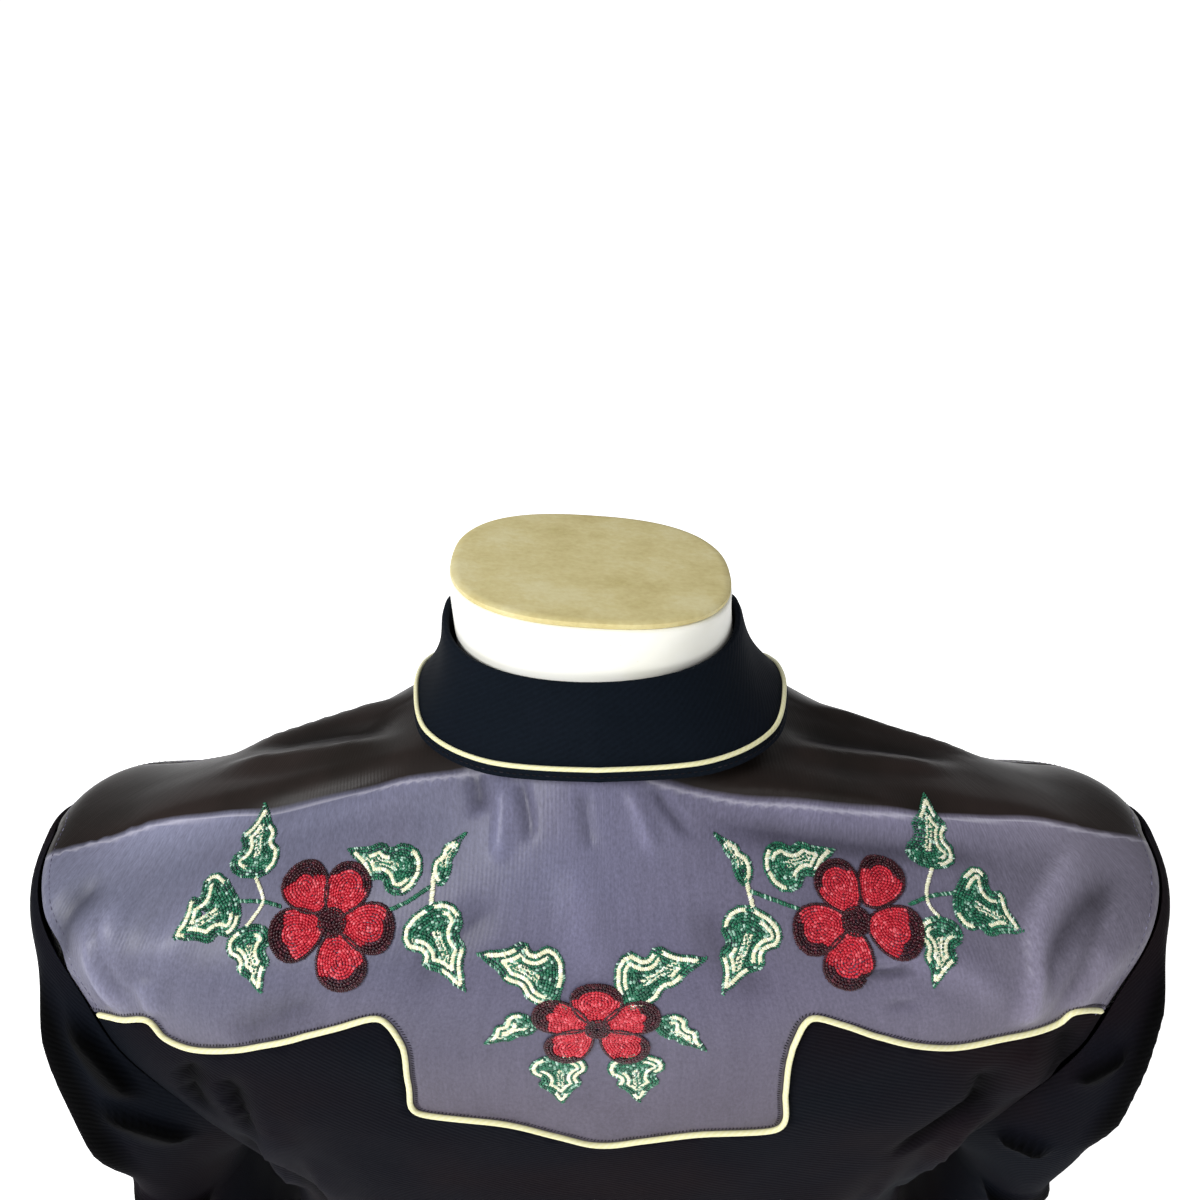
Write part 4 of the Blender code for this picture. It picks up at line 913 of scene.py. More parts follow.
def cap_board():
    """Grey-board glued over with calico: khaki, mottled, with a dull tooth."""
    material, tree, shader = new_material(
        "calico_covered_board_glued", Roughness=0.85, IOR=1.5, Specular_IOR_Level=0.2)
    place = object_place(tree)
    grain = noise(tree, place, 420.0, 3.0)
    colour = ramp(tree, noise(tree, place, 38.0, 6.0, 0.62),
                  (0.30, "#cbbc82"), (0.72, "#e4dbae"), (0.50, "#d9cc95"))
    colour = overlaid(tree, 0.35, colour, grain, (0.3, 0.38), (0.7, 0.62))
    return with_nodes(material, shader, Base_Color=colour, Normal=bumped(tree, grain, 0.25, 0.0004))


def studio_paper():
    """Seamless paper, rolled: an even white that glows a little."""
    material, tree, shader = new_material(
        "seamless_paper_rolled", Roughness=0.95, Specular_IOR_Level=0.1,
        Emission_Color="#ffffff", Emission_Strength=0.85)
    tooth = noise(tree, object_place(tree), 3.0, 3.0)
    colour = ramp(tree, tooth, (0.3, "#f6f6f6"), (0.7, "#ffffff"))
    return with_nodes(material, shader, Base_Color=colour)


# Stitches


def stitch_shape():
    """One stitch: a flattened grain one unit long, made of a few faces."""
    sides = 6
    turns = [2 * math.pi * k / sides for k in range(sides)]
    points = [(-0.5, 0.0, 0.0)]
    for x in (-0.27, 0.27):
        points += [(x, 0.5 * math.cos(t), 0.5 * math.sin(t)) for t in turns]
    points.append((0.5, 0.0, 0.0))
    faces = []
    for k in range(sides):
        nxt = (k + 1) % sides
        faces.append((0, 1 + nxt, 1 + k))
        faces.append((1 + k, 1 + nxt, 1 + sides + nxt, 1 + sides + k))
        faces.append((1 + sides + k, 1 + sides + nxt, 1 + 2 * sides))
    mesh = new_mesh("stitch_grain", points, faces)
    face_outwards(mesh)
    obj = bpy.data.objects.new("stitch_grain", mesh)
    return obj


def stitch_tree():
    """Geometry Nodes: one grain on each point, turned along its run and laid on the cloth."""
    tree = bpy.data.node_groups.new("stitches", "GeometryNodeTree")
    sockets = {}
    for name, kind in (("Geometry", "Geometry"), ("Stitch", "Object"), ("Thread", "Material"),
                       ("Size", "Float")):
        sockets[name] = tree.interface.new_socket(
            name, in_out="INPUT", socket_type=f"NodeSocket{kind}").identifier
    tree.interface.new_socket("Geometry", in_out="OUTPUT", socket_type="NodeSocketGeometry")
    given = add(tree, "NodeGroupInput")
    shape = add(tree, "GeometryNodeObjectInfo", {"Object": given.outputs["Stitch"]})
    along, facing, size = (
        add(tree, "GeometryNodeInputNamedAttribute", {"Name": name},
            data_type="FLOAT_VECTOR").outputs[0] for name in ("along", "facing", "size"))
    up = add(tree, "FunctionNodeAlignRotationToVector", {"Vector": facing}, axis="Z")
    turned = add(tree, "FunctionNodeAlignRotationToVector", {
        "Rotation": up.outputs[0], "Vector": along}, axis="X", pivot_axis="Z")
    scale = add(tree, "ShaderNodeVectorMath", {0: size, "Scale": given.outputs["Size"]},
                operation="SCALE")
    points = add(tree, "GeometryNodeMeshToPoints", {"Mesh": given.outputs["Geometry"]})
    placed = add(tree, "GeometryNodeInstanceOnPoints", {
        "Points": points.outputs[0], "Instance": shape.outputs["Geometry"],
        "Rotation": turned.outputs[0], "Scale": scale.outputs[0]})
    real = add(tree, "GeometryNodeRealizeInstances", {"Geometry": placed.outputs[0]})
    done = add(tree, "GeometryNodeSetMaterial", {
        "Geometry": real.outputs[0], "Material": given.outputs["Thread"]})
    add(tree, "NodeGroupOutput", {"Geometry": done.outputs[0]})
    return tree, sockets


# Pitch, length and width of the stitches in a row, in metres
BLACK_TOPSTITCH = (0.0030, 0.0023, 0.00055)
BLACK_SEAM_STITCH = (0.0030, 0.0023, 0.00050)
COLLAR_TOPSTITCH = (0.0026, 0.0021, 0.00042)
SATIN_TOPSTITCH = (0.0028, 0.0020, 0.00050)
SATIN_SEAM_STITCH = (0.0028, 0.0020, 0.00045)
WHIP_STITCH = (0.0015, 0.0016, 0.00042)
# How far a row lies from its piping or its seam
WHIP_GAP, ARMHOLE_GAP, SHOULDER_GAPS = 0.0022, 0.0045, (0.0025, 0.0065)
# How far the embroidery stands off the cloth's surface
EMBROIDERY_LIFT, MAROON_LIFT = 0.00035, 0.00070

GRAIN = stitch_shape()
STITCHES, STITCH_SOCKETS = stitch_tree()


def stitch_piece(name, points, along, facing, sizes, tones, material, slot):
    """Stitches as one plain mesh."""
    cloud = bpy.data.meshes.new(name)
    cloud.from_pydata([tuple(p) for p in points], [], [])
    for key, values in (("along", along), ("facing", facing), ("size", sizes)):
        layer = cloud.attributes.new(key, "FLOAT_VECTOR", "POINT")
        layer.data.foreach_set("vector", np.asarray(values, np.float32).ravel())
    layer = cloud.attributes.new("tone", "FLOAT", "POINT")
    layer.data.foreach_set("value", np.asarray(tones, np.float32))
    source = bpy.data.objects.new(name + "_points", cloud)
    bpy.context.scene.collection.objects.link(source)
    bpy.context.scene.collection.objects.link(GRAIN)
    made = source.modifiers.new("stitches", "NODES")
    made.node_group = STITCHES
    made[STITCH_SOCKETS["Stitch"]] = GRAIN
    made[STITCH_SOCKETS["Thread"]] = material
    made[STITCH_SOCKETS["Size"]] = 1.0
    graph = bpy.context.evaluated_depsgraph_get()
    mesh = bpy.data.meshes.new_from_object(source.evaluated_get(graph), depsgraph=graph)
    mesh.name = name
    bpy.data.objects.remove(source)
    bpy.context.scene.collection.objects.unlink(GRAIN)
    if not mesh.materials:
        mesh.materials.append(material)
    mesh.shade_smooth()
    obj = bpy.data.objects.new(name, mesh)
    bpy.context.scene.collection.objects.link(obj)
    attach(obj, "root")
    return obj


def run_of_stitches(line, facing, pitch, length, width, skew=0.0, height=0.5):
    """Stitches end to end along a line of points: places, directions, facings, sizes."""
    spots = resampled(line, pitch)
    run = np.linspace(0, 1, len(spots))
    old = np.linspace(0, 1, len(line))
    normals = unit(np.stack([np.interp(run, old, facing[:, k]) for k in range(3)], axis=1))
    along = unit(np.gradient(spots, axis=0))
    if skew:
        across = np.cross(normals, along)
        along = along * math.cos(skew) + across * math.sin(skew)
    sizes = np.tile((length, width, width * height), (len(spots), 1))
    return spots, along, normals, sizes


def stitched_places(places, lift, pitch, length, width, skew=0.0):
    """A run of stitches along places on the body's cloth."""
    return run_of_stitches(
        cloth_points(places, lift), plain_normals(places), pitch, length, width, skew)


def seam_piece(name, seams, draw, thread, slot):
    """Runs of stitches as one piece, each stitch with a tone of its own."""
    rows = [np.vstack(values) for values in zip(*seams)]
    return stitch_piece(name, *rows, draw.uniform(0, 1, len(rows[0])), thread, slot)


# Embroidery, drawn in millimetres from each motif's middle: x towards the left, y upwards

ROW_PITCH = 1.15
STITCH_PITCH = 1.35
# One side of a leaf with two lobes. Columns: share of its length, share of its half width
LEAF_SIDE = np.array((
    (0.00, 0.08), (0.04, 0.55), (0.13, 0.88), (0.25, 1.00), (0.37, 0.94), (0.45, 0.66), (0.50, 0.62),
    (0.56, 0.74), (0.64, 0.68), (0.72, 0.44), (0.80, 0.30), (0.90, 0.20), (1.00, 0.03),
))
LEAF_ROWS = (0.35, 1.55, 2.85, 4.0, 5.2, 6.35, 7.5, 8.65, 9.8, 10.95, 12.1)


class Drawing:
    """Stitches gathered by thread: x, y, direction, length, width."""

    def __init__(self, seed):
        self.rows = {"crimson": [], "maroon": [], "green": [], "cream": []}
        self.draw = np.random.default_rng(seed)

    def line(self, thread, points, pitch=STITCH_PITCH, width=1.2, length=1.7, skew=0.0, closed=False):
        points = np.asarray(points, float)
        if closed:
            points = np.vstack([points, points[:1]])
        spots = resampled(points, pitch)
        if closed:
            spots = spots[:-1]
        if len(spots) < 2:
            return
        step = np.roll(spots, -1, 0) - np.roll(spots, 1, 0) if closed else np.gradient(spots, axis=0)
        turn = np.arctan2(step[:, 1], step[:, 0]) + skew
        for (x, y), angle in zip(spots, turn):
            shake = self.draw.normal(0.0, 0.06, 2)
            self.rows[thread].append((
                x + shake[0], y + shake[1], angle + self.draw.normal(0.0, 0.08),
                length * self.draw.uniform(0.9, 1.1), width * self.draw.uniform(0.9, 1.1),
                self.draw.uniform(0.0, 1.0)))

    def petal(self, x, y, long, wide, tip_rows=1, lean=0.0):
        """Rings of chain stitch within an egg shape, whipped round in maroon, deeper at its tip."""
        turn = math.atan2(y, x)
        cosine, sine = math.cos(turn), math.sin(turn)

        def egg(shrink, first=0.0, last=2 * math.pi, count=90):
            t = np.linspace(first, last, count)
            a, b = long / 2 - shrink, wide / 2 - shrink
            out = a * np.cos(t)
            aside = b * np.sin(t) * (1 + 0.24 * np.cos(t))
            return np.stack([x + out * cosine - aside * sine, y + out * sine + aside * cosine], 1)

        self.line("maroon", egg(0.4), pitch=0.80, length=1.55, width=0.80, skew=1.05, closed=True)
        shrink, half_turn = 1.35, 1.2
        for row in range(tip_rows):
            start, end = lean + half_turn, lean + 2 * math.pi - half_turn
            self.line("maroon", egg(shrink + row * ROW_PITCH, lean - half_turn, start), skew=0.35)
            self.line("crimson", egg(shrink + row * ROW_PITCH, start, end), skew=0.25)
            half_turn -= 0.14
        shrink += tip_rows * ROW_PITCH
        while min(long, wide) / 2 - shrink > 0.35:
            self.line("crimson", egg(shrink), skew=0.25, closed=True)
            shrink += ROW_PITCH
        spare = max(long, wide) / 2 - shrink + 0.5
        if spare > 0.6:
            ahead = np.array((cosine, sine) if long > wide else (-sine, cosine))
            self.line("crimson", np.array((x, y)) + np.outer((-spare, spare), ahead), skew=0.25)

    def disc(self, x, y, radius):
        while radius > 0.3:
            t = np.linspace(0, 2 * math.pi, 40)
            ring = np.stack([x + radius * np.cos(t), y + radius * np.sin(t)], 1)
            self.line("maroon", ring, skew=0.4, closed=True)
            radius -= 1.1

    def leaf(self, base, tip, plus, minus, bend=0.0,
             outer=((0.04, 0.34), (0.40, 0.64)), inner=((0.60, 0.94), (0.24, 0.46))):
        """A lobed leaf filled with rows that follow its edge, some runs of them in cream satin stitch."""
        base, tip = np.array(base, float), np.array(tip, float)
        span = tip - base
        size = np.linalg.norm(span)
        aside = np.array((-span[1], span[0])) / size
        share = np.linspace(0.0, 1.0, 70)
        half = np.interp(share, LEAF_SIDE[:, 0], LEAF_SIDE[:, 1])
        other = np.interp(share, LEAF_SIDE[:, 0] * 0.92 + 0.04 * (LEAF_SIDE[:, 0] > 0.5), LEAF_SIDE[:, 1])
        middle = base + np.outer(share, span) + np.outer(bend * np.sin(math.pi * share), aside)
        upper, lower = middle + np.outer(plus * half, aside), middle - np.outer(minus * other, aside)
        outline = resampled(np.vstack([upper, lower[::-1], upper[:1]]), 0.55)[:-1]
        along = unit(np.roll(outline, -2, 0) - np.roll(outline, 2, 0))
        x, y = outline[:, 0], outline[:, 1]
        turned = 1 if (x * np.roll(y, -1) - np.roll(x, -1) * y).sum() > 0 else -1
        inward = np.stack([-along[:, 1], along[:, 0]], 1) * turned
        where = np.arange(len(outline)) / len(outline)
        for row, depth in enumerate(LEAF_ROWS):
            moved = outline + inward * depth
            far = np.min(np.linalg.norm(moved[:, None] - outline[None], axis=2), axis=1)
            kept = far > depth * 0.93
            pale = np.zeros(len(outline), bool)
            for start, end in {1: outer, 3: inner}.get(row, ()):
                pale |= (where > start) & (where < end)
            kind = np.where(kept, np.where(pale, 2, 1), 0)
            for run in np.split(np.arange(len(kind)), np.flatnonzero(np.diff(kind)) + 1):
                if len(run) < 3 or kind[run[0]] == 0:
                    continue
                if kind[run[0]] == 2:
                    self.line("cream", moved[run], pitch=0.72, length=2.3, width=0.95, skew=1.25)
                elif row == 0:
                    self.line("green", moved[run], pitch=0.95, length=1.7, width=0.7, skew=0.95)
                else:
                    self.line("green", moved[run], skew=0.3)
        for off in (-0.7, 0.9):
            vein = middle[(share > 0.30) & (share < 0.72)] + aside * ((plus - minus) * 0.25 + off)
            self.line("cream", vein, pitch=0.75, length=2.0, width=0.95, skew=1.2)

    def stem(self, thread, points, width=1.6):
        line = smooth_line(points, 0.6)
        self.line(thread, line, pitch=0.75, length=width + 0.5, width=0.85, skew=1.1)


def left_motif():
    made = Drawing(11)
    for x, y, long, wide, tips, lean in (
            (13.5, 10, 23, 19, 4, 0.35), (-2.5, 13, 22, 18.5, 2, 0.0), (-15, 1.5, 22.5, 19, 3, 0.5),
            (-7.5, -13, 22, 20, 3, 0.0), (12, -7, 23, 20, 4, 0.0)):
        made.petal(x, y, long, wide, tip_rows=tips, lean=lean)
    made.disc(-1, 0, 5.4)
    made.leaf((37, 9), (48, 38), 9, 12, inner=((0.55, 0.92),))
    made.leaf((40, -1), (61, -21), 18, 9, -2, outer=((0.10, 0.24), (0.36, 0.60), (0.80, 0.92)))
    made.leaf((33, -9), (21, -32), 10, 9, inner=((0.62, 0.94), (0.2, 0.4)))
    made.leaf((-31, 26), (3, 28), 9, 11, outer=((0.0, 0.12), (0.44, 0.66), (0.86, 0.99)))
    made.leaf((-39, 23), (-45, 46), 3.6, 4.6, -2.5, outer=((0.46, 0.98),), inner=())
    made.leaf((-38, 16), (-57, -12), 15, 10, 1, outer=((0.02, 0.34), (0.42, 0.70), (0.84, 0.98)))
    made.stem("cream", ((37, 9), (32, 4), (30, 1), (31, -4), (33, -9)))
    made.stem("cream", ((-36, 27), (-37, 22), (-38, 16)), 2.0)
    made.stem("green", ((40, -1), (30, 1), (22, 1)))
    made.stem("green", ((-21, 9), (-28, 14), (-36, 22)))
    return made.rows


def right_motif():
    made = Drawing(12)
    for x, y, long, wide, tips, lean in (
            (3.5, 13, 22, 18.5, 2, 0.0), (-13.5, 11, 23, 19, 3, -0.3), (-13.5, -8, 23.5, 20, 4, 0.0),
            (7, -14, 22, 20, 3, 0.0), (15.5, 0, 22.5, 19, 3, -0.5)):
        made.petal(x, y, long, wide, tip_rows=tips, lean=lean)
    made.disc(1, -1, 5.4)
    made.leaf((-38, 11), (-48, 39), 12, 9, inner=((0.08, 0.45),))
    made.leaf((-43, 0), (-66, -21), 9, 17, 2, outer=((0.08, 0.20), (0.40, 0.64), (0.76, 0.90)))
    made.leaf((-33, -7), (-24, -32), 9, 10, inner=((0.06, 0.38), (0.6, 0.8)))
    made.leaf((32, 26), (-1, 28), 11, 9, outer=((0.01, 0.14), (0.34, 0.56), (0.88, 1.0)))
    made.leaf((40, 22), (49, 45), 4.6, 3.6, 2.5, outer=((0.02, 0.54),), inner=())
    made.leaf((40, 14), (57, -15), 10, 14, -1, outer=((0.02, 0.16), (0.30, 0.58), (0.66, 0.98)))
    made.stem("cream", ((-38, 11), (-33, 5), (-31, 1), (-31, -3), (-33, -7)))
    made.stem("cream", ((40, 25), (40, 20), (40, 14)), 2.0)
    made.stem("green", ((-43, 0), (-32, 1), (-23, 0)))
    made.stem("green", ((21, 8), (29, 13), (40, 20)))
    return made.rows


def middle_motif():
    made = Drawing(13)
    for x, y, long, wide, tips in ((-0.5, 10.5, 18, 20, 2), (-14, 3.5, 23, 16, 4), (-11, -10.5, 22, 17, 2),
                                   (9.5, -10, 22, 17, 2), (13, 4, 23, 16, 4)):
        made.petal(x, y, long, wide, tip_rows=tips)
    made.disc(-1, -1, 4.6)
    made.leaf((14, 13), (45, 29), 15, 7, 2, outer=((0.04, 0.34), (0.40, 0.56), (0.70, 0.96)))
    made.leaf((-10, 11), (-43, 28), 7, 15, -2, outer=((0.04, 0.30), (0.44, 0.60), (0.66, 0.96)))
    made.leaf((23, 3), (43, -10), 8, 5, outer=((0.10, 0.56),))
    made.leaf((-24, 3), (-44, -14), 5, 8, outer=((0.44, 0.90),))
    made.leaf((13, -16), (13, -47), 13, 10, outer=((0.08, 0.26), (0.42, 0.60), (0.70, 0.96)))
    made.leaf((-15, -16), (-18, -47), 11, 12, outer=((0.04, 0.30), (0.40, 0.58), (0.74, 0.92)))
    made.stem("green", ((14, 13), (11, 9)), 1.0)
    made.stem("green", ((-10, 12), (-9, 8)), 1.0)
    return made.rows


def laid_places(middle, offsets):
    """The places of points drawn on the plane that touches the body at a place."""
    middle = np.array([middle], float)
    centre, normal = plain_points(middle)[0], plain_normals(middle)[0]
    across = unit(np.cross((0.0, 0.0, 1.0), normal))
    across = across if across[0] > 0 else -across
    upwards = np.cross(normal, across)
    upwards = upwards if upwards[2] > 0 else -upwards
    plane = np.stack([across, upwards])
    flat = np.repeat(flat_of(middle), len(offsets), axis=0)
    flat += offsets
    for _ in range(14):
        here = (plain_points(places_of(flat)) - centre) @ plane.T
        right = (plain_points(places_of(flat + (0.001, 0.0))) - centre) @ plane.T
        above = (plain_points(places_of(flat + (0.0, 0.001))) - centre) @ plane.T
        jacobian = np.stack([(right - here) / 0.001, (above - here) / 0.001], axis=2)
        move = np.linalg.solve(jacobian, (offsets - here)[:, :, None])[:, :, 0]
        flat += np.clip(move, -0.02, 0.02)
    return places_of(flat)


def make_embroidery(threads):
    motifs = (
        ((35.5, 2.28), left_motif()), ((-34.6, 2.20), right_motif()), ((0.1, 3.44), middle_motif()),
    )
    made = []
    for thread, material in threads.items():
        points, alongs, facings, sizes, tones = [], [], [], [], []
        for middle, rows in motifs:
            table = np.array(rows[thread])
            ahead = np.stack([np.cos(table[:, 2]), np.sin(table[:, 2])], axis=1)
            offsets = table[:, :2] / 1000
            here = laid_places(middle, offsets)
            there = laid_places(middle, offsets + ahead * 0.0008)
            # The maroon is worked last, over the edges of the red
            lift = CLOTH_WALL / 2 + (MAROON_LIFT if thread == "maroon" else EMBROIDERY_LIFT)
            start, end = cloth_points(here, lift), cloth_points(there, lift)
            points.append(start)
            alongs.append(unit(end - start))
            facings.append(plain_normals(here))
            sizes.append(np.stack([table[:, 3], table[:, 4], table[:, 4] * 0.85], axis=1) / 1000)
            tones.append(table[:, 5])
        made.append(stitch_piece(
            f"embroidery_{thread}", np.vstack(points), np.vstack(alongs), np.vstack(facings),
            np.vstack(sizes), np.concatenate(tones), material, "grey_satin"))
    return made


# The pieces


def over_shoulder(places, points):
    """Where the satin's painted shade goes: 0 behind the yoke's crest and 1 in front of it, fading out again
    below the front seam.
    """
    angle, level = places[:, 0], places[:, 1]
    angle = np.where(angle > 180.0, angle - 360.0, angle)
    share = np.zeros(len(places))
    behind = np.interp(level, (0.0, 0.5, 1.8, 2.8, 4.0), (0.010, 0.014, 0.014, 0.006, 0.0))
    for crest, side in ((LEFT_CREST, 1), (RIGHT_CREST, -1)):
        line = smooth_line(crest[:, ::-1], 0.3, 500)
        far = np.min(np.linalg.norm(points[:, None] - plain_points(line)[None], axis=2), axis=1)
        beyond = side * angle > side * np.interp(level, line[:, 1], line[:, 0])
        signed = np.where(beyond, far, -far)
        turned = np.clip((signed + behind) / CREST_WIDTH, 0.0, 1.0)
        share = np.where(angle * side > 0, turned, share)
    fade = np.clip((168.0 - np.abs(angle) - 4.0 * level) / 30.0, 0.0, 1.0)
    share = share * share * (3 - 2 * share)
    return share * fade * fade * (3 - 2 * fade)


def body_panel(name, runs, step, material, shaded=False):
    points, faces, places = cut_panel(runs, step)
    mesh = new_mesh(name, points, faces, cloth_uv(places))
    plain, normals = plain_points(places), plain_normals(places)
    record_creases(mesh, crease_heights(plain, normals, CREASES, plain_points))
    if shaded:
        layer = mesh.attributes.new("over_shoulder", "FLOAT", "POINT")
        layer.data.foreach_set("value", over_shoulder(places, plain).astype(np.float32))
    obj = thicken(place_piece(name + "_cloth", mesh, material), CLOTH_WALL)
    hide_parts(name)
    return obj


def make_body(satin, black):
    yoke_line = back_yoke_line()
    over = SHOULDER_SEAM_STATION - ARMHOLE_STATIONS
    underarm = ARMHOLE_STATIONS / 2
    neck = straight_run((-SHOULDER_SEAM_ANGLE, 0.0), (SHOULDER_SEAM_ANGLE, 0.0))
    body_panel("back_yoke", (
        neck, shoulder_seam(1), armhole_run(over, BACK_YOKE_STATION, 1), yoke_line,
        armhole_run(BACK_YOKE_STATION, over, -1), shoulder_seam(-1)[::-1],
    ), YOKE_STEP, satin, shaded=True)
    sides = {side: straight_run((side * 90.0, UNDERARM_LEVEL), (side * 90.0, HEM_LEVEL))
             for side in (1, -1)}
    body_panel("back_panel", (
        yoke_line[::-1], armhole_run(BACK_YOKE_STATION, underarm, 1), sides[1],
        straight_run((90.0, HEM_LEVEL), (-90.0, HEM_LEVEL)), sides[-1][::-1],
        armhole_run(underarm, BACK_YOKE_STATION, -1),
    ), BODY_STEP, black)
    for side, word in ((1, "left"), (-1, "right")):
        edge = front_yoke_line(side)
        meeting = edge[-1, 1]
        seam_angle = SHOULDER_SEAM_ANGLE if side > 0 else 360.0 - SHOULDER_SEAM_ANGLE
        top = front_edge_places(np.array([0.0]))[0]
        body_panel(f"front_yoke_{word}", (
            straight_run((seam_angle, 0.0), top), front_edge_places(np.linspace(0.0, meeting, 40)),
            edge[::-1],
            counted_on(armhole_run(FRONT_YOKE_STATION, SHOULDER_SEAM_STATION, side), side),
            counted_on(shoulder_seam(side), side)[::-1],
        ), FRONT_YOKE_STEP, satin, shaded=True)
        hem_end = front_edge_places(np.array([HEM_LEVEL]))[0]
        body_panel(f"front_{word}", (
            edge, front_edge_places(np.linspace(meeting, HEM_LEVEL, 80)),
            straight_run(hem_end, (90.0 if side > 0 else 270.0, HEM_LEVEL)),
            counted_on(sides[side], side)[::-1],
            counted_on(armhole_run(underarm, FRONT_YOKE_STATION, side), side),
        ), BODY_STEP, black)


def placket_places(levels, share):
    angle = front_edge_places(levels)[:, 0]
    return np.stack([180.0 - (180.0 - angle) * share, levels], axis=1)


PLACKET_LIFT = 0.0024


def make_placket(black):
    levels = np.linspace(0.04, 12.98, 200)
    shares = np.linspace(-1.0, 1.0, 13)
    columns = [cloth_points(placket_places(levels, share), PLACKET_LIFT) for share in shares]
    points = np.stack(columns, axis=1).reshape(-1, 3)
    down = np.interp(levels, LEVELS, DOWN)
    uv = np.stack([np.tile(shares * PLACKET_HALF_WIDTH, len(levels)), -np.repeat(down, len(shares))], 1)
    faces = grid_faces(len(levels), len(shares), False, flip=True)
    mesh = new_mesh("placket", points, faces, uv)
    obj = thicken(place_piece("placket_cloth", mesh, black), PLACKET_WALL)
    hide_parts("placket")


def fold_points(angle):
    return ring_points(FOLD_RING, angle) + (FOLD_SHIFT, 0.0, 0.0)


def stand_points(angle, share):
    """Points on the collar stand, from its foot inside the neck seam up to the fold."""
    foot = plain_points(np.stack([angle, np.zeros(len(angle))], 1))
    axis = np.stack([0 * angle, 0 * angle + BODY_RINGS[0, 1], foot[:, 2]], 1)
    foot = foot + unit(axis - foot) * STAND_INSET
    head = fold_points(angle)
    axis = np.stack([0 * angle, 0 * angle + FOLD_RING[1], head[:, 2]], 1)
    head = head + unit(axis - head) * STAND_HEAD_INSET
    head[:, 2] -= 0.0017
    return foot + (head - foot) * np.asarray(share)[..., None]


def leaf_edge_points(angle):
    size = np.abs(angle)
    where = np.interp(size, LEAF_EDGE[:, 0], np.arange(len(LEAF_EDGE)))
    row = between_rows(LEAF_EDGE, where)
    return np.stack([np.sign(angle) * row[:, 1], row[:, 2], TIP_HEIGHT + row[:, 3]], 1)


def leaf_points(angle, share, lift=0.0):
    fold, edge = fold_points(angle), leaf_edge_points(angle)
    out = unit(np.cross(fold_points(angle + 1) - fold_points(angle - 1), edge - fold))
    wave = 0.0006 * np.sin(np.radians(angle) * 3.0 + 0.7) * share**2
    roll = 0.0018 - 0.0058 * np.sin(np.radians(angle)) ** 2
    bow = roll * np.sin(math.pi * share) + lift + wave
    return fold + (edge - fold) * np.asarray(share)[..., None] + out * np.asarray(bow)[..., None], out


def make_collar(navy, gold, threads):
    """One piece of cloth: the stand, rolled over at the fold, and the leaf."""
    columns = 180
    angle = np.linspace(-180.0, 180.0, columns, endpoint=False)
    rows = [stand_points(angle, share) for share in np.linspace(0.0, 1.0, 9)]
    head, leaf_head = rows[-1], leaf_points(angle, np.full(columns, 0.03))[0]
    middle, arm = (head + leaf_head) / 2, (head - leaf_head) / 2
    reach = np.linalg.norm(arm, axis=1, keepdims=True)
    for turn in np.linspace(0.0, math.pi, 7)[1:-1]:
        rows.append(middle + arm * math.cos(turn) + np.array((0.0, 0.0, 1.0)) * reach * math.sin(turn))
    stand_rows = 9
    for share in np.linspace(0.03, 1.0, 22):
        rows.append(leaf_points(angle, np.full(columns, share))[0])
    points = np.stack(rows).reshape(-1, 3)
    faces = grid_faces(len(rows), columns, True)
    row_of, column_of = np.divmod(faces, columns)
    lowest = row_of.min(1)
    turned = np.abs(angle[column_of]).max(1)
    wraps = (column_of.max(1) - column_of.min(1)) > 1
    keep = (lowest < stand_rows - 1) | ((turned <= LEAF_END_ANGLE + 0.5) & ~wraps)
    faces = faces[keep]
    used = np.unique(faces)
    renumber = np.zeros(len(points), int)
    renumber[used] = np.arange(len(used))
    run = run_lengths(np.stack(rows)[:, columns // 2])
    uv = np.stack([np.tile(np.radians(angle) * 0.075, len(rows)), np.repeat(run, columns)], 1)
    points, uv, faces = points[used], uv[used], renumber[faces]
    mesh = new_mesh("collar", points, faces, uv)
    face_outwards(mesh)
    obj = thicken(place_piece("collar_cloth", mesh, navy), COLLAR_WALL)
    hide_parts("collar_stand", "collar_leaf")

    turns = np.linspace(-LEAF_END_ANGLE, LEAF_END_ANGLE, 340)
    share = 1 - COLLAR_PIPING_INSET * np.maximum(np.cos(np.radians(turns) / 1.6), 0.25)
    line, out = leaf_points(turns, share, COLLAR_WALL / 2 + 0.0007)
    cord = tube_mesh("collar_piping", line, out, COLLAR_PIPING_RADIUS)
    piping = place_piece("collar_piping_cord", cord, gold)
    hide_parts("collar_piping")

    line, out = leaf_points(turns, 1 - (1 - share) * 0.35, COLLAR_WALL / 2)
    stitched = seam_piece(
        "collar_topstitch", [run_of_stitches(line, out, *COLLAR_TOPSTITCH)],
        np.random.default_rng(3), threads["dark"], "black_cloth")


def piping_piece(name, places, gold):
    lift = CLOTH_WALL / 2 + 0.0008
    line = cloth_points(places, lift)
    mesh = tube_mesh(name, line, plain_normals(places), PIPING_RADIUS)
    obj = place_piece(name + "_cord", mesh, gold)
    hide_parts(name)
    return obj


def beside(places, distance):
    """The same run moved sideways along the cloth, in metres."""
    flat = flat_of(places)
    along = unit(np.gradient(flat, axis=0))
    return places_of(flat + np.stack([-along[:, 1], along[:, 0]], 1) * distance)


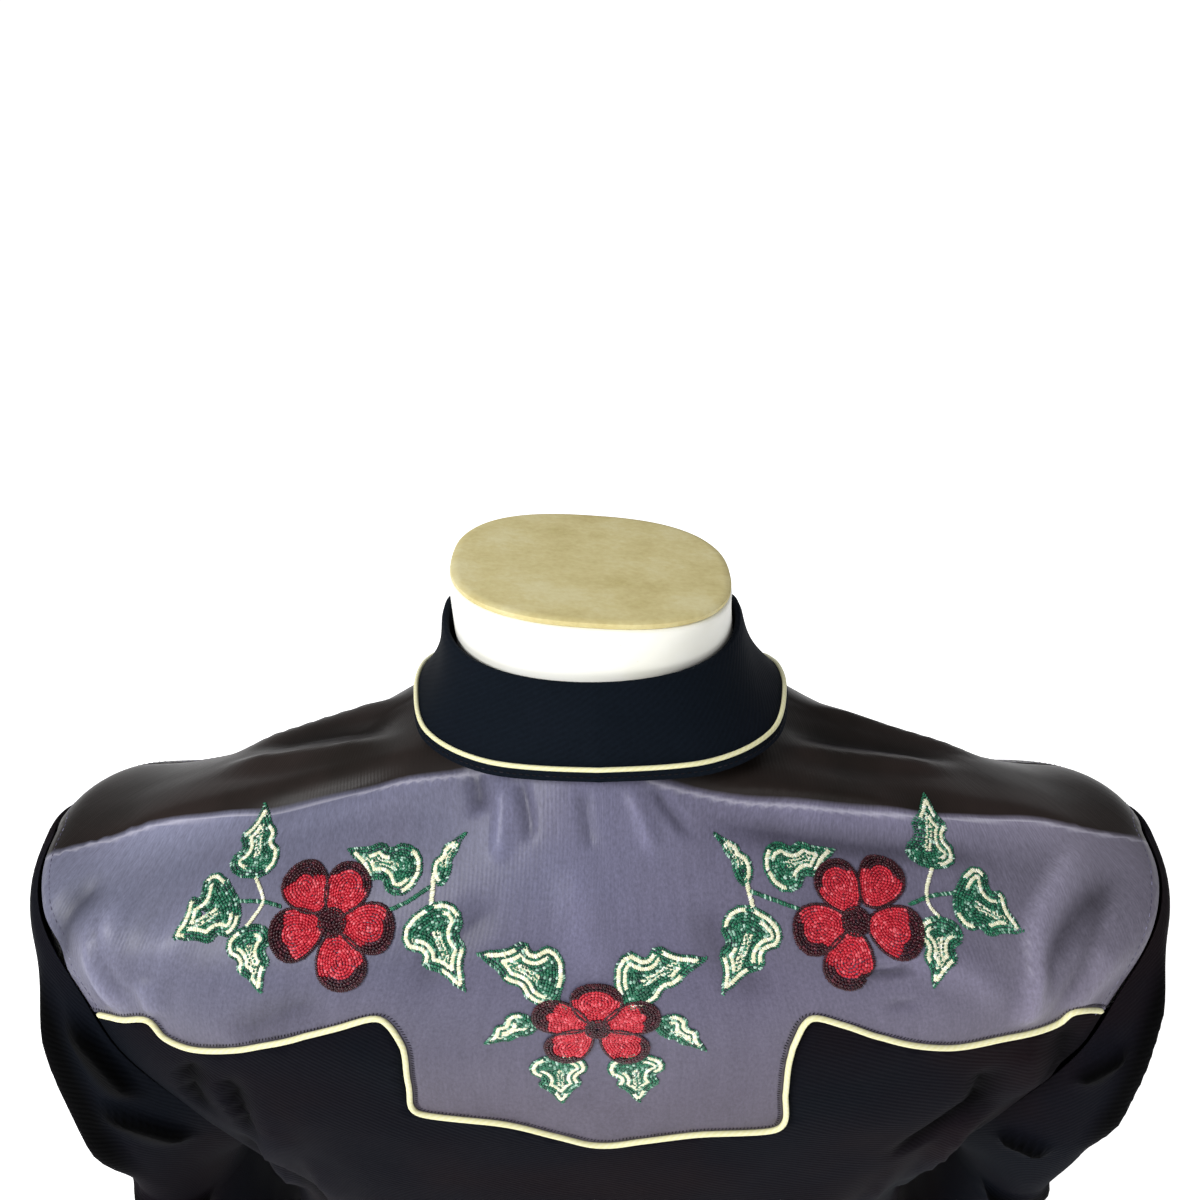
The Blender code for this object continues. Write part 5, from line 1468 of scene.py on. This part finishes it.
def make_yoke_trim(gold, threads):
    back = back_yoke_line()
    runs = [("back_yoke_piping", back)]
    for side, word in ((1, "left"), (-1, "right")):
        line = front_yoke_line(side)
        limit = placket_places(line[:, 1], side * 1.0)[:, 0]
        keep = side * (limit - line[:, 0]) > 1.2
        runs.append((f"front_yoke_piping_{word}", line[keep]))
    whips, tops = [], []
    for name, line in runs:
        piping_piece(name, line[2:-2], gold)
        rises = flat_of(beside(line, 0.002))[:, 1].mean() > flat_of(line)[:, 1].mean()
        upper = beside(line, WHIP_GAP if rises else -WHIP_GAP)
        whips.append(stitched_places(upper, CLOTH_WALL / 2 + 0.0001, *WHIP_STITCH, skew=1.15))
    for side in (1, -1):
        start, end = SHOULDER_SEAM_STATION - ARMHOLE_STATIONS, BACK_YOKE_STATION
        places = armhole_places(np.linspace(start, end, 120), side)
        places = beside(places, -ARMHOLE_GAP * side)
        tops.append(stitched_places(places, CLOTH_WALL / 2, *SATIN_TOPSTITCH))
        places = counted_on(armhole_places(np.linspace(20.0, 18.0, 60), side), side)
        places = beside(places, ARMHOLE_GAP * side)
        tops.append(stitched_places(places, CLOTH_WALL / 2, *SATIN_TOPSTITCH))
        for gap in SHOULDER_GAPS:
            places = beside(shoulder_seam(side)[2:-2], gap * side)
            tops.append(stitched_places(places, CLOTH_WALL / 2, *SATIN_SEAM_STITCH))
    draw = np.random.default_rng(5)
    seam_piece("yoke_whip_stitch", whips, draw, threads["dark"], "grey_satin")
    seam_piece("yoke_topstitch", tops, draw, threads["grey"], "grey_satin")


def make_black_topstitch(threads):
    """Rows of stitching on the placket, the hem, the side seams and the cuffs."""
    seams = []
    levels = np.linspace(0.1, 12.95, 300)
    for share in (-0.82, 0.82):
        places = placket_places(levels, share)
        seams.append(stitched_places(places, PLACKET_LIFT + PLACKET_WALL / 2, *BLACK_TOPSTITCH))
    places = np.stack([np.linspace(-176.0, 176.0, 700), np.full(700, HEM_LEVEL - 0.085)], 1)
    seams.append(stitched_places(places, CLOTH_WALL / 2, *BLACK_TOPSTITCH))
    for side in (1, -1):
        for gap in (2.0, 4.0):
            levels = np.linspace(UNDERARM_LEVEL + 0.1, HEM_LEVEL - 0.1, 200)
            places = np.stack([np.full(200, side * (90.0 - gap)), levels], 1)
            seams.append(stitched_places(places, CLOTH_WALL / 2, *BLACK_SEAM_STITCH))
        turns = np.linspace(0.0, 2 * math.pi, 160)
        for drop in (0.005, CUFF_DEPTH - 0.005, CUFF_DEPTH - 0.012):
            line, out = cuff_points(turns, drop, 0.0010)
            seams.append(run_of_stitches(
                line * (side, 1, 1), out * (side, 1, 1), *BLACK_TOPSTITCH))
        creases = LEFT_SLEEVE_CREASES if side > 0 else RIGHT_SLEEVE_CREASES
        line, out, _ = sleeve_points(turns, np.full(160, 0.25), creases)
        line = line + out * CLOTH_WALL / 2
        seams.append(run_of_stitches(
            line * (side, 1, 1), out * (side, 1, 1), *BLACK_SEAM_STITCH))
    seam_piece("black_topstitch", seams, np.random.default_rng(9), threads["dark"], "black_cloth")


# Sleeves


def plain_sleeve(turn, row, slim=0.0):
    """Points of an uncreased left sleeve; turn is in radians from its outer side to its back."""
    ring = between_rows(SLEEVE_RINGS, row)
    ring[:, 1] -= slim * 0.6 * bump(row - 5.5, 3.5)
    ring[:, 5] -= slim * bump(row - 6.0, 4.0)
    blend, x_out, z_out, x_in, z_in, y_back, y_front, square = ring.T
    out, back = power(np.cos(turn), 2 / square), power(np.sin(turn), 2 / square)
    swell = np.zeros(len(turn))
    for turn_1, row_1, turn_2, row_2, half_width, height in SLEEVE_FOLDS:
        share = ((np.degrees(turn) - turn_1 + 180.0) % 360.0 - 180.0) / (turn_2 - turn_1)
        middle = row_1 + (row_2 - row_1) * np.clip(share, 0.0, 1.0)
        swell += 0.6 * height * bump(share - 0.5, 0.8) * bump(row - middle, half_width)
    half_x, half_y = (x_out - x_in) / 2 + swell, (y_back - y_front) / 2 + swell
    hanging = np.stack([
        (x_out + x_in) / 2 + half_x * out, (y_back + y_front) / 2 + half_y * back,
        TIP_HEIGHT + (z_out + z_in) / 2 + (z_out - z_in) / 2 * out,
    ], axis=1)
    station = turn / (2 * math.pi) * ARMHOLE_STATIONS
    loop = plain_points(armhole_places(station, 1))
    ahead = plain_points(armhole_places(station + 0.5, 1))
    behind = plain_points(armhole_places(station - 0.5, 1))
    into = unit(np.cross(ahead - behind, plain_normals(armhole_places(station, 1))))
    loop = loop + into * SLEEVE_INSET
    share = np.clip(blend, 0.0, 1.0)[:, None]
    return loop + (hanging - loop) * share


def sleeve_normals(turn, row, slim):
    low, high = np.maximum(row - 0.05, 0.0), np.minimum(row + 0.05, 14.0)
    round_it = plain_sleeve(turn + 0.03, row, slim) - plain_sleeve(turn - 0.03, row, slim)
    down_it = plain_sleeve(turn, high, slim) - plain_sleeve(turn, low, slim)
    return unit(np.cross(round_it, down_it))


def sleeve_points(turn, row, creases):
    slim = RIGHT_SLEEVE_SLIM if creases is RIGHT_SLEEVE_CREASES else 0.0
    points, normals = plain_sleeve(turn, row, slim), sleeve_normals(turn, row, slim)

    def surface(places):
        return plain_sleeve(np.radians(places[:, 0]), places[:, 1], slim)

    creased = crease_heights(points, normals, creases, surface)
    height = creased + ripple(points) * np.clip(row, 0, 1)
    return points + normals * height[:, None], normals, creased


def cuff_points(turn, drop, lift=0.0):
    last = SLEEVE_RINGS[-1]
    out, back = power(np.cos(turn), 2 / last[7]), power(np.sin(turn), 2 / last[7])
    half_x, half_y = (last[1] - last[3]) / 2, (last[5] - last[6]) / 2
    normal = unit(np.stack([out / half_x, back / half_y, 0 * out], 1))
    points = np.stack([
        (last[1] + last[3]) / 2 + half_x * out, (last[5] + last[6]) / 2 + half_y * back,
        np.full(len(turn), TIP_HEIGHT + last[2] - drop),
    ], axis=1)
    return points + normal * lift, normal


def make_sleeves(black):
    columns, count = 120, 190
    turns = np.linspace(0.0, 2 * math.pi, columns, endpoint=False)
    rows = np.linspace(0.0, 14.0, count)
    for side, word, creases in ((1, "left", LEFT_SLEEVE_CREASES), (-1, "right", RIGHT_SLEEVE_CREASES)):
        turn, row = np.tile(turns, count), np.repeat(rows, columns)
        points, _, creased = sleeve_points(turn, row, creases)
        grid = points.reshape(count, columns, 3)
        run = run_lengths(grid[:, columns // 4])
        uv = np.stack([turn / (2 * math.pi) * 0.44, -np.repeat(run, columns)], 1)
        faces = grid_faces(count, columns, True, flip=side < 0)
        mesh = new_mesh(f"sleeve_{word}", points * (side, 1, 1), faces, uv)
        record_creases(mesh, creased)
        obj = thicken(place_piece(f"sleeve_{word}_cloth", mesh, black), CLOTH_WALL)
        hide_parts(f"sleeve_{word}")
        drops = np.linspace(SEAM_GAP, CUFF_DEPTH, 24)
        points = np.vstack([
            cuff_points(turns, drop, -0.0004 * math.sin(drop / CUFF_DEPTH * math.pi))[0]
            for drop in drops])
        uv = np.stack([np.tile(turns / (2 * math.pi) * 0.22, len(drops)), -np.repeat(drops, columns)], 1)
        faces = grid_faces(len(drops), columns, True, flip=side < 0)
        mesh = new_mesh(f"cuff_{word}", points * (side, 1, 1), faces, uv)
        obj = thicken(place_piece(f"cuff_{word}_cloth", mesh, black), CUFF_WALL)
        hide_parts(f"cuff_{word}")


# Snaps and the form


def lathe(name, profile, sides, materials, split):
    """A turned shape about +Z: profile is (radius, height) from the outer foot to the middle of the top."""
    points, faces = [], []
    for radius, height in profile[:-1]:
        points += [(radius * math.cos(2 * math.pi * k / sides),
                    radius * math.sin(2 * math.pi * k / sides), height) for k in range(sides)]
    top = len(points)
    points.append((0.0, 0.0, profile[-1][1]))
    bottom = len(points)
    points.append((0.0, 0.0, profile[0][1]))
    kinds = []
    for row in range(len(profile) - 2):
        for k in range(sides):
            nxt = (k + 1) % sides
            faces.append((row * sides + k, row * sides + nxt,
                          (row + 1) * sides + nxt, (row + 1) * sides + k))
            kinds.append(0 if row < split else 1)
    last = (len(profile) - 2) * sides
    for k in range(sides):
        nxt = (k + 1) % sides
        faces.append((last + k, last + nxt, top))
        kinds.append(1)
        faces.append((nxt, k, bottom))
        kinds.append(0)
    mesh = new_mesh(name, points, faces)
    for material in materials:
        mesh.materials.append(material)
    mesh.polygons.foreach_set("material_index", kinds)
    face_outwards(mesh)
    return mesh


SNAP_PROFILE = (
    (0.0050, 0.0000), (0.0058, 0.0002), (0.0060, 0.0008), (0.0058, 0.0014), (0.0053, 0.0018),
    (0.0049, 0.0017), (0.0048, 0.0016), (0.0047, 0.0020), (0.0041, 0.0026), (0.0030, 0.0030),
    (0.0015, 0.0032), (0.0000, 0.0033),
)


def make_snap(name, point, normal, pearl, nickel):
    mesh = lathe(name + "_cap", SNAP_PROFILE, 32, (nickel, pearl), 6)
    turn = Vector(normal).to_track_quat("Z", "Y").to_matrix().to_4x4()
    mesh.transform(Matrix.Translation(Vector(point)) @ turn)
    obj = bpy.data.objects.new(name + "_cap", mesh)
    bpy.context.scene.collection.objects.link(obj)
    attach(obj, "root")
    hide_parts(name)


def make_snaps(pearl, nickel):
    for k in range(FRONT_SNAPS):
        level = places_on_body([0.0], [SNAP_TOP - SNAP_PITCH * k], front=True)[0, 1]
        place = np.array([(180.0, level)])
        make_snap(f"snap_front_{k + 1}", cloth_points(place, PLACKET_LIFT + PLACKET_WALL / 2)[0],
                  plain_normals(place)[0], pearl, nickel)
    foot, head = (stand_points(np.array([180.0]), np.array([share]))[0] for share in (0.0, 1.0))
    out = unit(np.cross((1.0, 0.0, 0.0), head - foot))
    make_snap("snap_collar", foot + (head - foot) * 0.45 + out * COLLAR_WALL / 2, out, pearl, nickel)
    for side, word in ((1, "left"), (-1, "right")):
        for k in range(CUFF_SNAPS):
            drop = CUFF_DEPTH * (0.28 + 0.44 * k)
            point, normal = cuff_points(np.array([0.0]), drop, CUFF_WALL / 2)
            make_snap(f"snap_cuff_{word}_{k + 1}", point[0] * (side, 1, 1),
                      normal[0] * (side, 1, 1), pearl, nickel)


FORM_CLEARANCE = np.array((
    (0.0, 0.0034), (3.0, 0.0036), (4.0, 0.0050), (8.0, 0.0075), (10.0, 0.0130), (12.0, 0.0110),
))
FORM_BASE = np.array((0.158, 0.000, 0.077, -0.077, 0.0, 0.0, 0.0, 2.4, 2.4))
NECK_RINGS = np.array((
    (0.0600, -0.023, 0.036, -0.082, 0.047, 0.062, -0.014, 2.0, 2.0),
    (0.0590, -0.024, 0.035, -0.083, 0.066, 0.079, 0.015, 2.0, 2.0),
    (0.0585, -0.027, 0.032, -0.087, 0.086, 0.094, 0.056, 2.0, 2.0),
))
NECK_SHIFTS = (0.000, 0.001, 0.003)
NECK_TOP_CENTRE, NECK_TOP_HALF = (0.0035, -0.032, 0.107), (0.0585, 0.0600)
NECK_TOP_TILT, NECK_TOP_ROLL = math.radians(12.5), math.radians(-4.0)
NECK_TOP_SQUARE = 2.5


def neck_top_ring(angle, inset_by, drop):
    x, y, z = NECK_TOP_CENTRE
    turn = Matrix.Rotation(NECK_TOP_TILT, 4, "X") @ Matrix.Rotation(NECK_TOP_ROLL, 4, "Y")
    place = np.array(Matrix.Translation((x, y, TIP_HEIGHT + z)) @ turn)
    half_x, half_y = NECK_TOP_HALF[0] - inset_by, NECK_TOP_HALF[1] - inset_by
    radians = np.radians(angle)
    flat = np.stack([
        half_x * power(np.sin(radians), 2 / NECK_TOP_SQUARE),
        half_y * power(np.cos(radians), 2 / NECK_TOP_SQUARE),
        0 * radians - drop, 0 * radians + 1], 1)
    return (flat @ place.T)[:, :3]


def closed_loft(name, rings, material, replaced):
    columns = len(rings[0])
    points = np.vstack(rings)
    faces = [tuple(face) for face in grid_faces(len(rings), columns, True)]
    top, bottom = len(points), len(points) + 1
    points = np.vstack([points, rings[0].mean(0), rings[-1].mean(0)])
    base = (len(rings) - 1) * columns
    for k in range(columns):
        nxt = (k + 1) % columns
        faces += [(top, nxt, k), (bottom, base + k, base + nxt)]
    mesh = new_mesh(name, points, faces)
    face_outwards(mesh)
    mesh.set_sharp_from_angle(angle=math.radians(50))
    obj = place_piece(name, mesh, material)
    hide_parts(replaced)
    return obj


def make_form(shell, board):
    angle = np.linspace(0.0, 360.0, 144, endpoint=False)
    rings = [neck_top_ring(angle, inset_by, drop) for inset_by, drop in (
        (0.0016, 0.0032), (0.0006, 0.0035), (0.0000, 0.0044))]
    necks = [neck_top_ring(angle, 0.0, 0.0060)]
    for row, shift in zip(NECK_RINGS[::-1], NECK_SHIFTS[::-1]):
        necks.append(ring_points(row, angle) + (shift, 0.0, 0.0))
    levels = np.arange(0.8, 12.01, 0.28)
    body = []
    for level in levels:
        places = np.stack([angle, np.full(len(angle), level)], 1)
        drop = np.interp(level, FORM_CLEARANCE[:, 0], FORM_CLEARANCE[:, 1])
        body.append(plain_points(places) - plain_normals(places) * drop)
    corners = np.stack(necks + [body[0]])
    smooth = between_rows(corners.reshape(len(corners), -1), np.linspace(0, len(corners) - 1, 21)[:-1])
    rings += [ring.reshape(-1, 3) for ring in smooth]
    rings += body
    base = ring_points(FORM_BASE, angle)
    base[:, 2] = 0.0
    rings += [base * (1 - t) + rings[-1] * t for t in (0.7, 0.35, 0.03)] + [base * (0.985, 0.985, 1)]
    closed_loft("torso_form_shell", rings, shell, "torso_form")
    rings = [neck_top_ring(angle, inset_by, drop) for inset_by, drop in (
        (0.0300, -0.0001), (0.0040, 0.0), (0.0014, 0.0002), (0.0006, 0.0008), (0.0006, 0.0022), (0.0012, 0.0030))]
    closed_loft("neck_cap_board", rings, board, "form_neck_cap")


# The studio

LENS_MM, SENSOR_MM = 37.5, 36.0
# Metres, and degrees from looking straight down
CAMERA_PLACE, CAMERA_TILT = (0.0, 0.398, 1.160), 54.0
SKY_STRENGTH = 0.24
# Columns: name, place, size in metres, watts; all of them aim at one place
LIGHTS = (
    ("key", (1.25, 1.05, 2.05), 0.7, 38.0),
    ("fill", (-1.1, 1.6, 1.7), 1.2, 8.0),
    ("front", (0.5, -2.2, 1.7), 1.4, 12.0),
)
LIT_PLACE = (0.0, 0.0, 0.65)


def make_studio():
    camera = bpy.data.cameras.new("camera")
    camera.lens, camera.sensor_width = LENS_MM, SENSOR_MM
    camera.clip_end = 100.0
    holder = bpy.data.objects.new("camera", camera)
    holder.location = CAMERA_PLACE
    holder.rotation_euler = (math.radians(CAMERA_TILT), 0.0, math.pi)
    bpy.context.scene.collection.objects.link(holder)
    bpy.context.scene.camera = holder

    world = bpy.data.worlds.new("studio")
    world.use_nodes = True
    back = world.node_tree.nodes["Background"]
    back.inputs["Color"].default_value = linear("#ffffff")
    back.inputs["Strength"].default_value = SKY_STRENGTH
    bpy.context.scene.world = world
    for name, place, size, watts in LIGHTS:
        light = bpy.data.lights.new(name, "AREA")
        light.size, light.energy = size, watts
        lamp = bpy.data.objects.new(name, light)
        lamp.location = place
        aim = Vector(LIT_PLACE) - Vector(place)
        lamp.rotation_euler = aim.to_track_quat("-Z", "Y").to_euler()
        bpy.context.scene.collection.objects.link(lamp)

    mesh = new_mesh("floor", [(-15, -15, 0), (15, -15, 0), (15, 15, 0), (-15, 15, 0)],
                    [(0, 1, 2, 3)])
    mesh.materials.append(studio_paper())
    ground = bpy.data.objects.new("floor", mesh)
    bpy.context.scene.collection.objects.link(ground)
    bpy.context.scene.view_settings.view_transform = "Standard"


def main():
    satin = satin_yoke()
    black = gabardine("worsted_gabardine_twill_black", ("#0d1119", "#100f17", "#170f13"), 0.03)
    navy = gabardine("worsted_gabardine_twill_blue_black", ("#0e141c", "#121922", "#151a24"), 0.035)
    gold = piping_satin()
    threads = {
        "crimson": twisted_thread("rayon_thread_crimson_twisted", "#ab1a2c", "#cf2c3d", "#e76a74"),
        "maroon": twisted_thread("rayon_thread_maroon_twisted", "#26060f", "#3d0c18", "#5c222f"),
        "green": twisted_thread("rayon_thread_green_twisted", "#0d4231", "#2a7d5c", "#b9dccb"),
        "cream": twisted_thread("rayon_thread_cream_twisted", "#e0dfbc", "#f8f7de", "#fffffa"),
    }
    seams = {
        "dark": twisted_thread("polyester_thread_black_twisted", "#0d0b0f", "#1a171c", "#2c2930", 0.6, 0.1),
        "grey": twisted_thread("polyester_thread_grey_twisted", "#4a4759", "#6a687d", "#8886a0", 0.6, 0.1),
    }
    make_form(shell_paint(), cap_board())
    embroidery = make_embroidery(threads)
    make_body(satin, black)
    make_sleeves(black)
    make_placket(black)
    make_collar(navy, gold, seams)
    make_yoke_trim(gold, seams)
    make_black_topstitch(seams)
    make_snaps(pearl_cap(), nickel_rim())
    make_studio()


main()
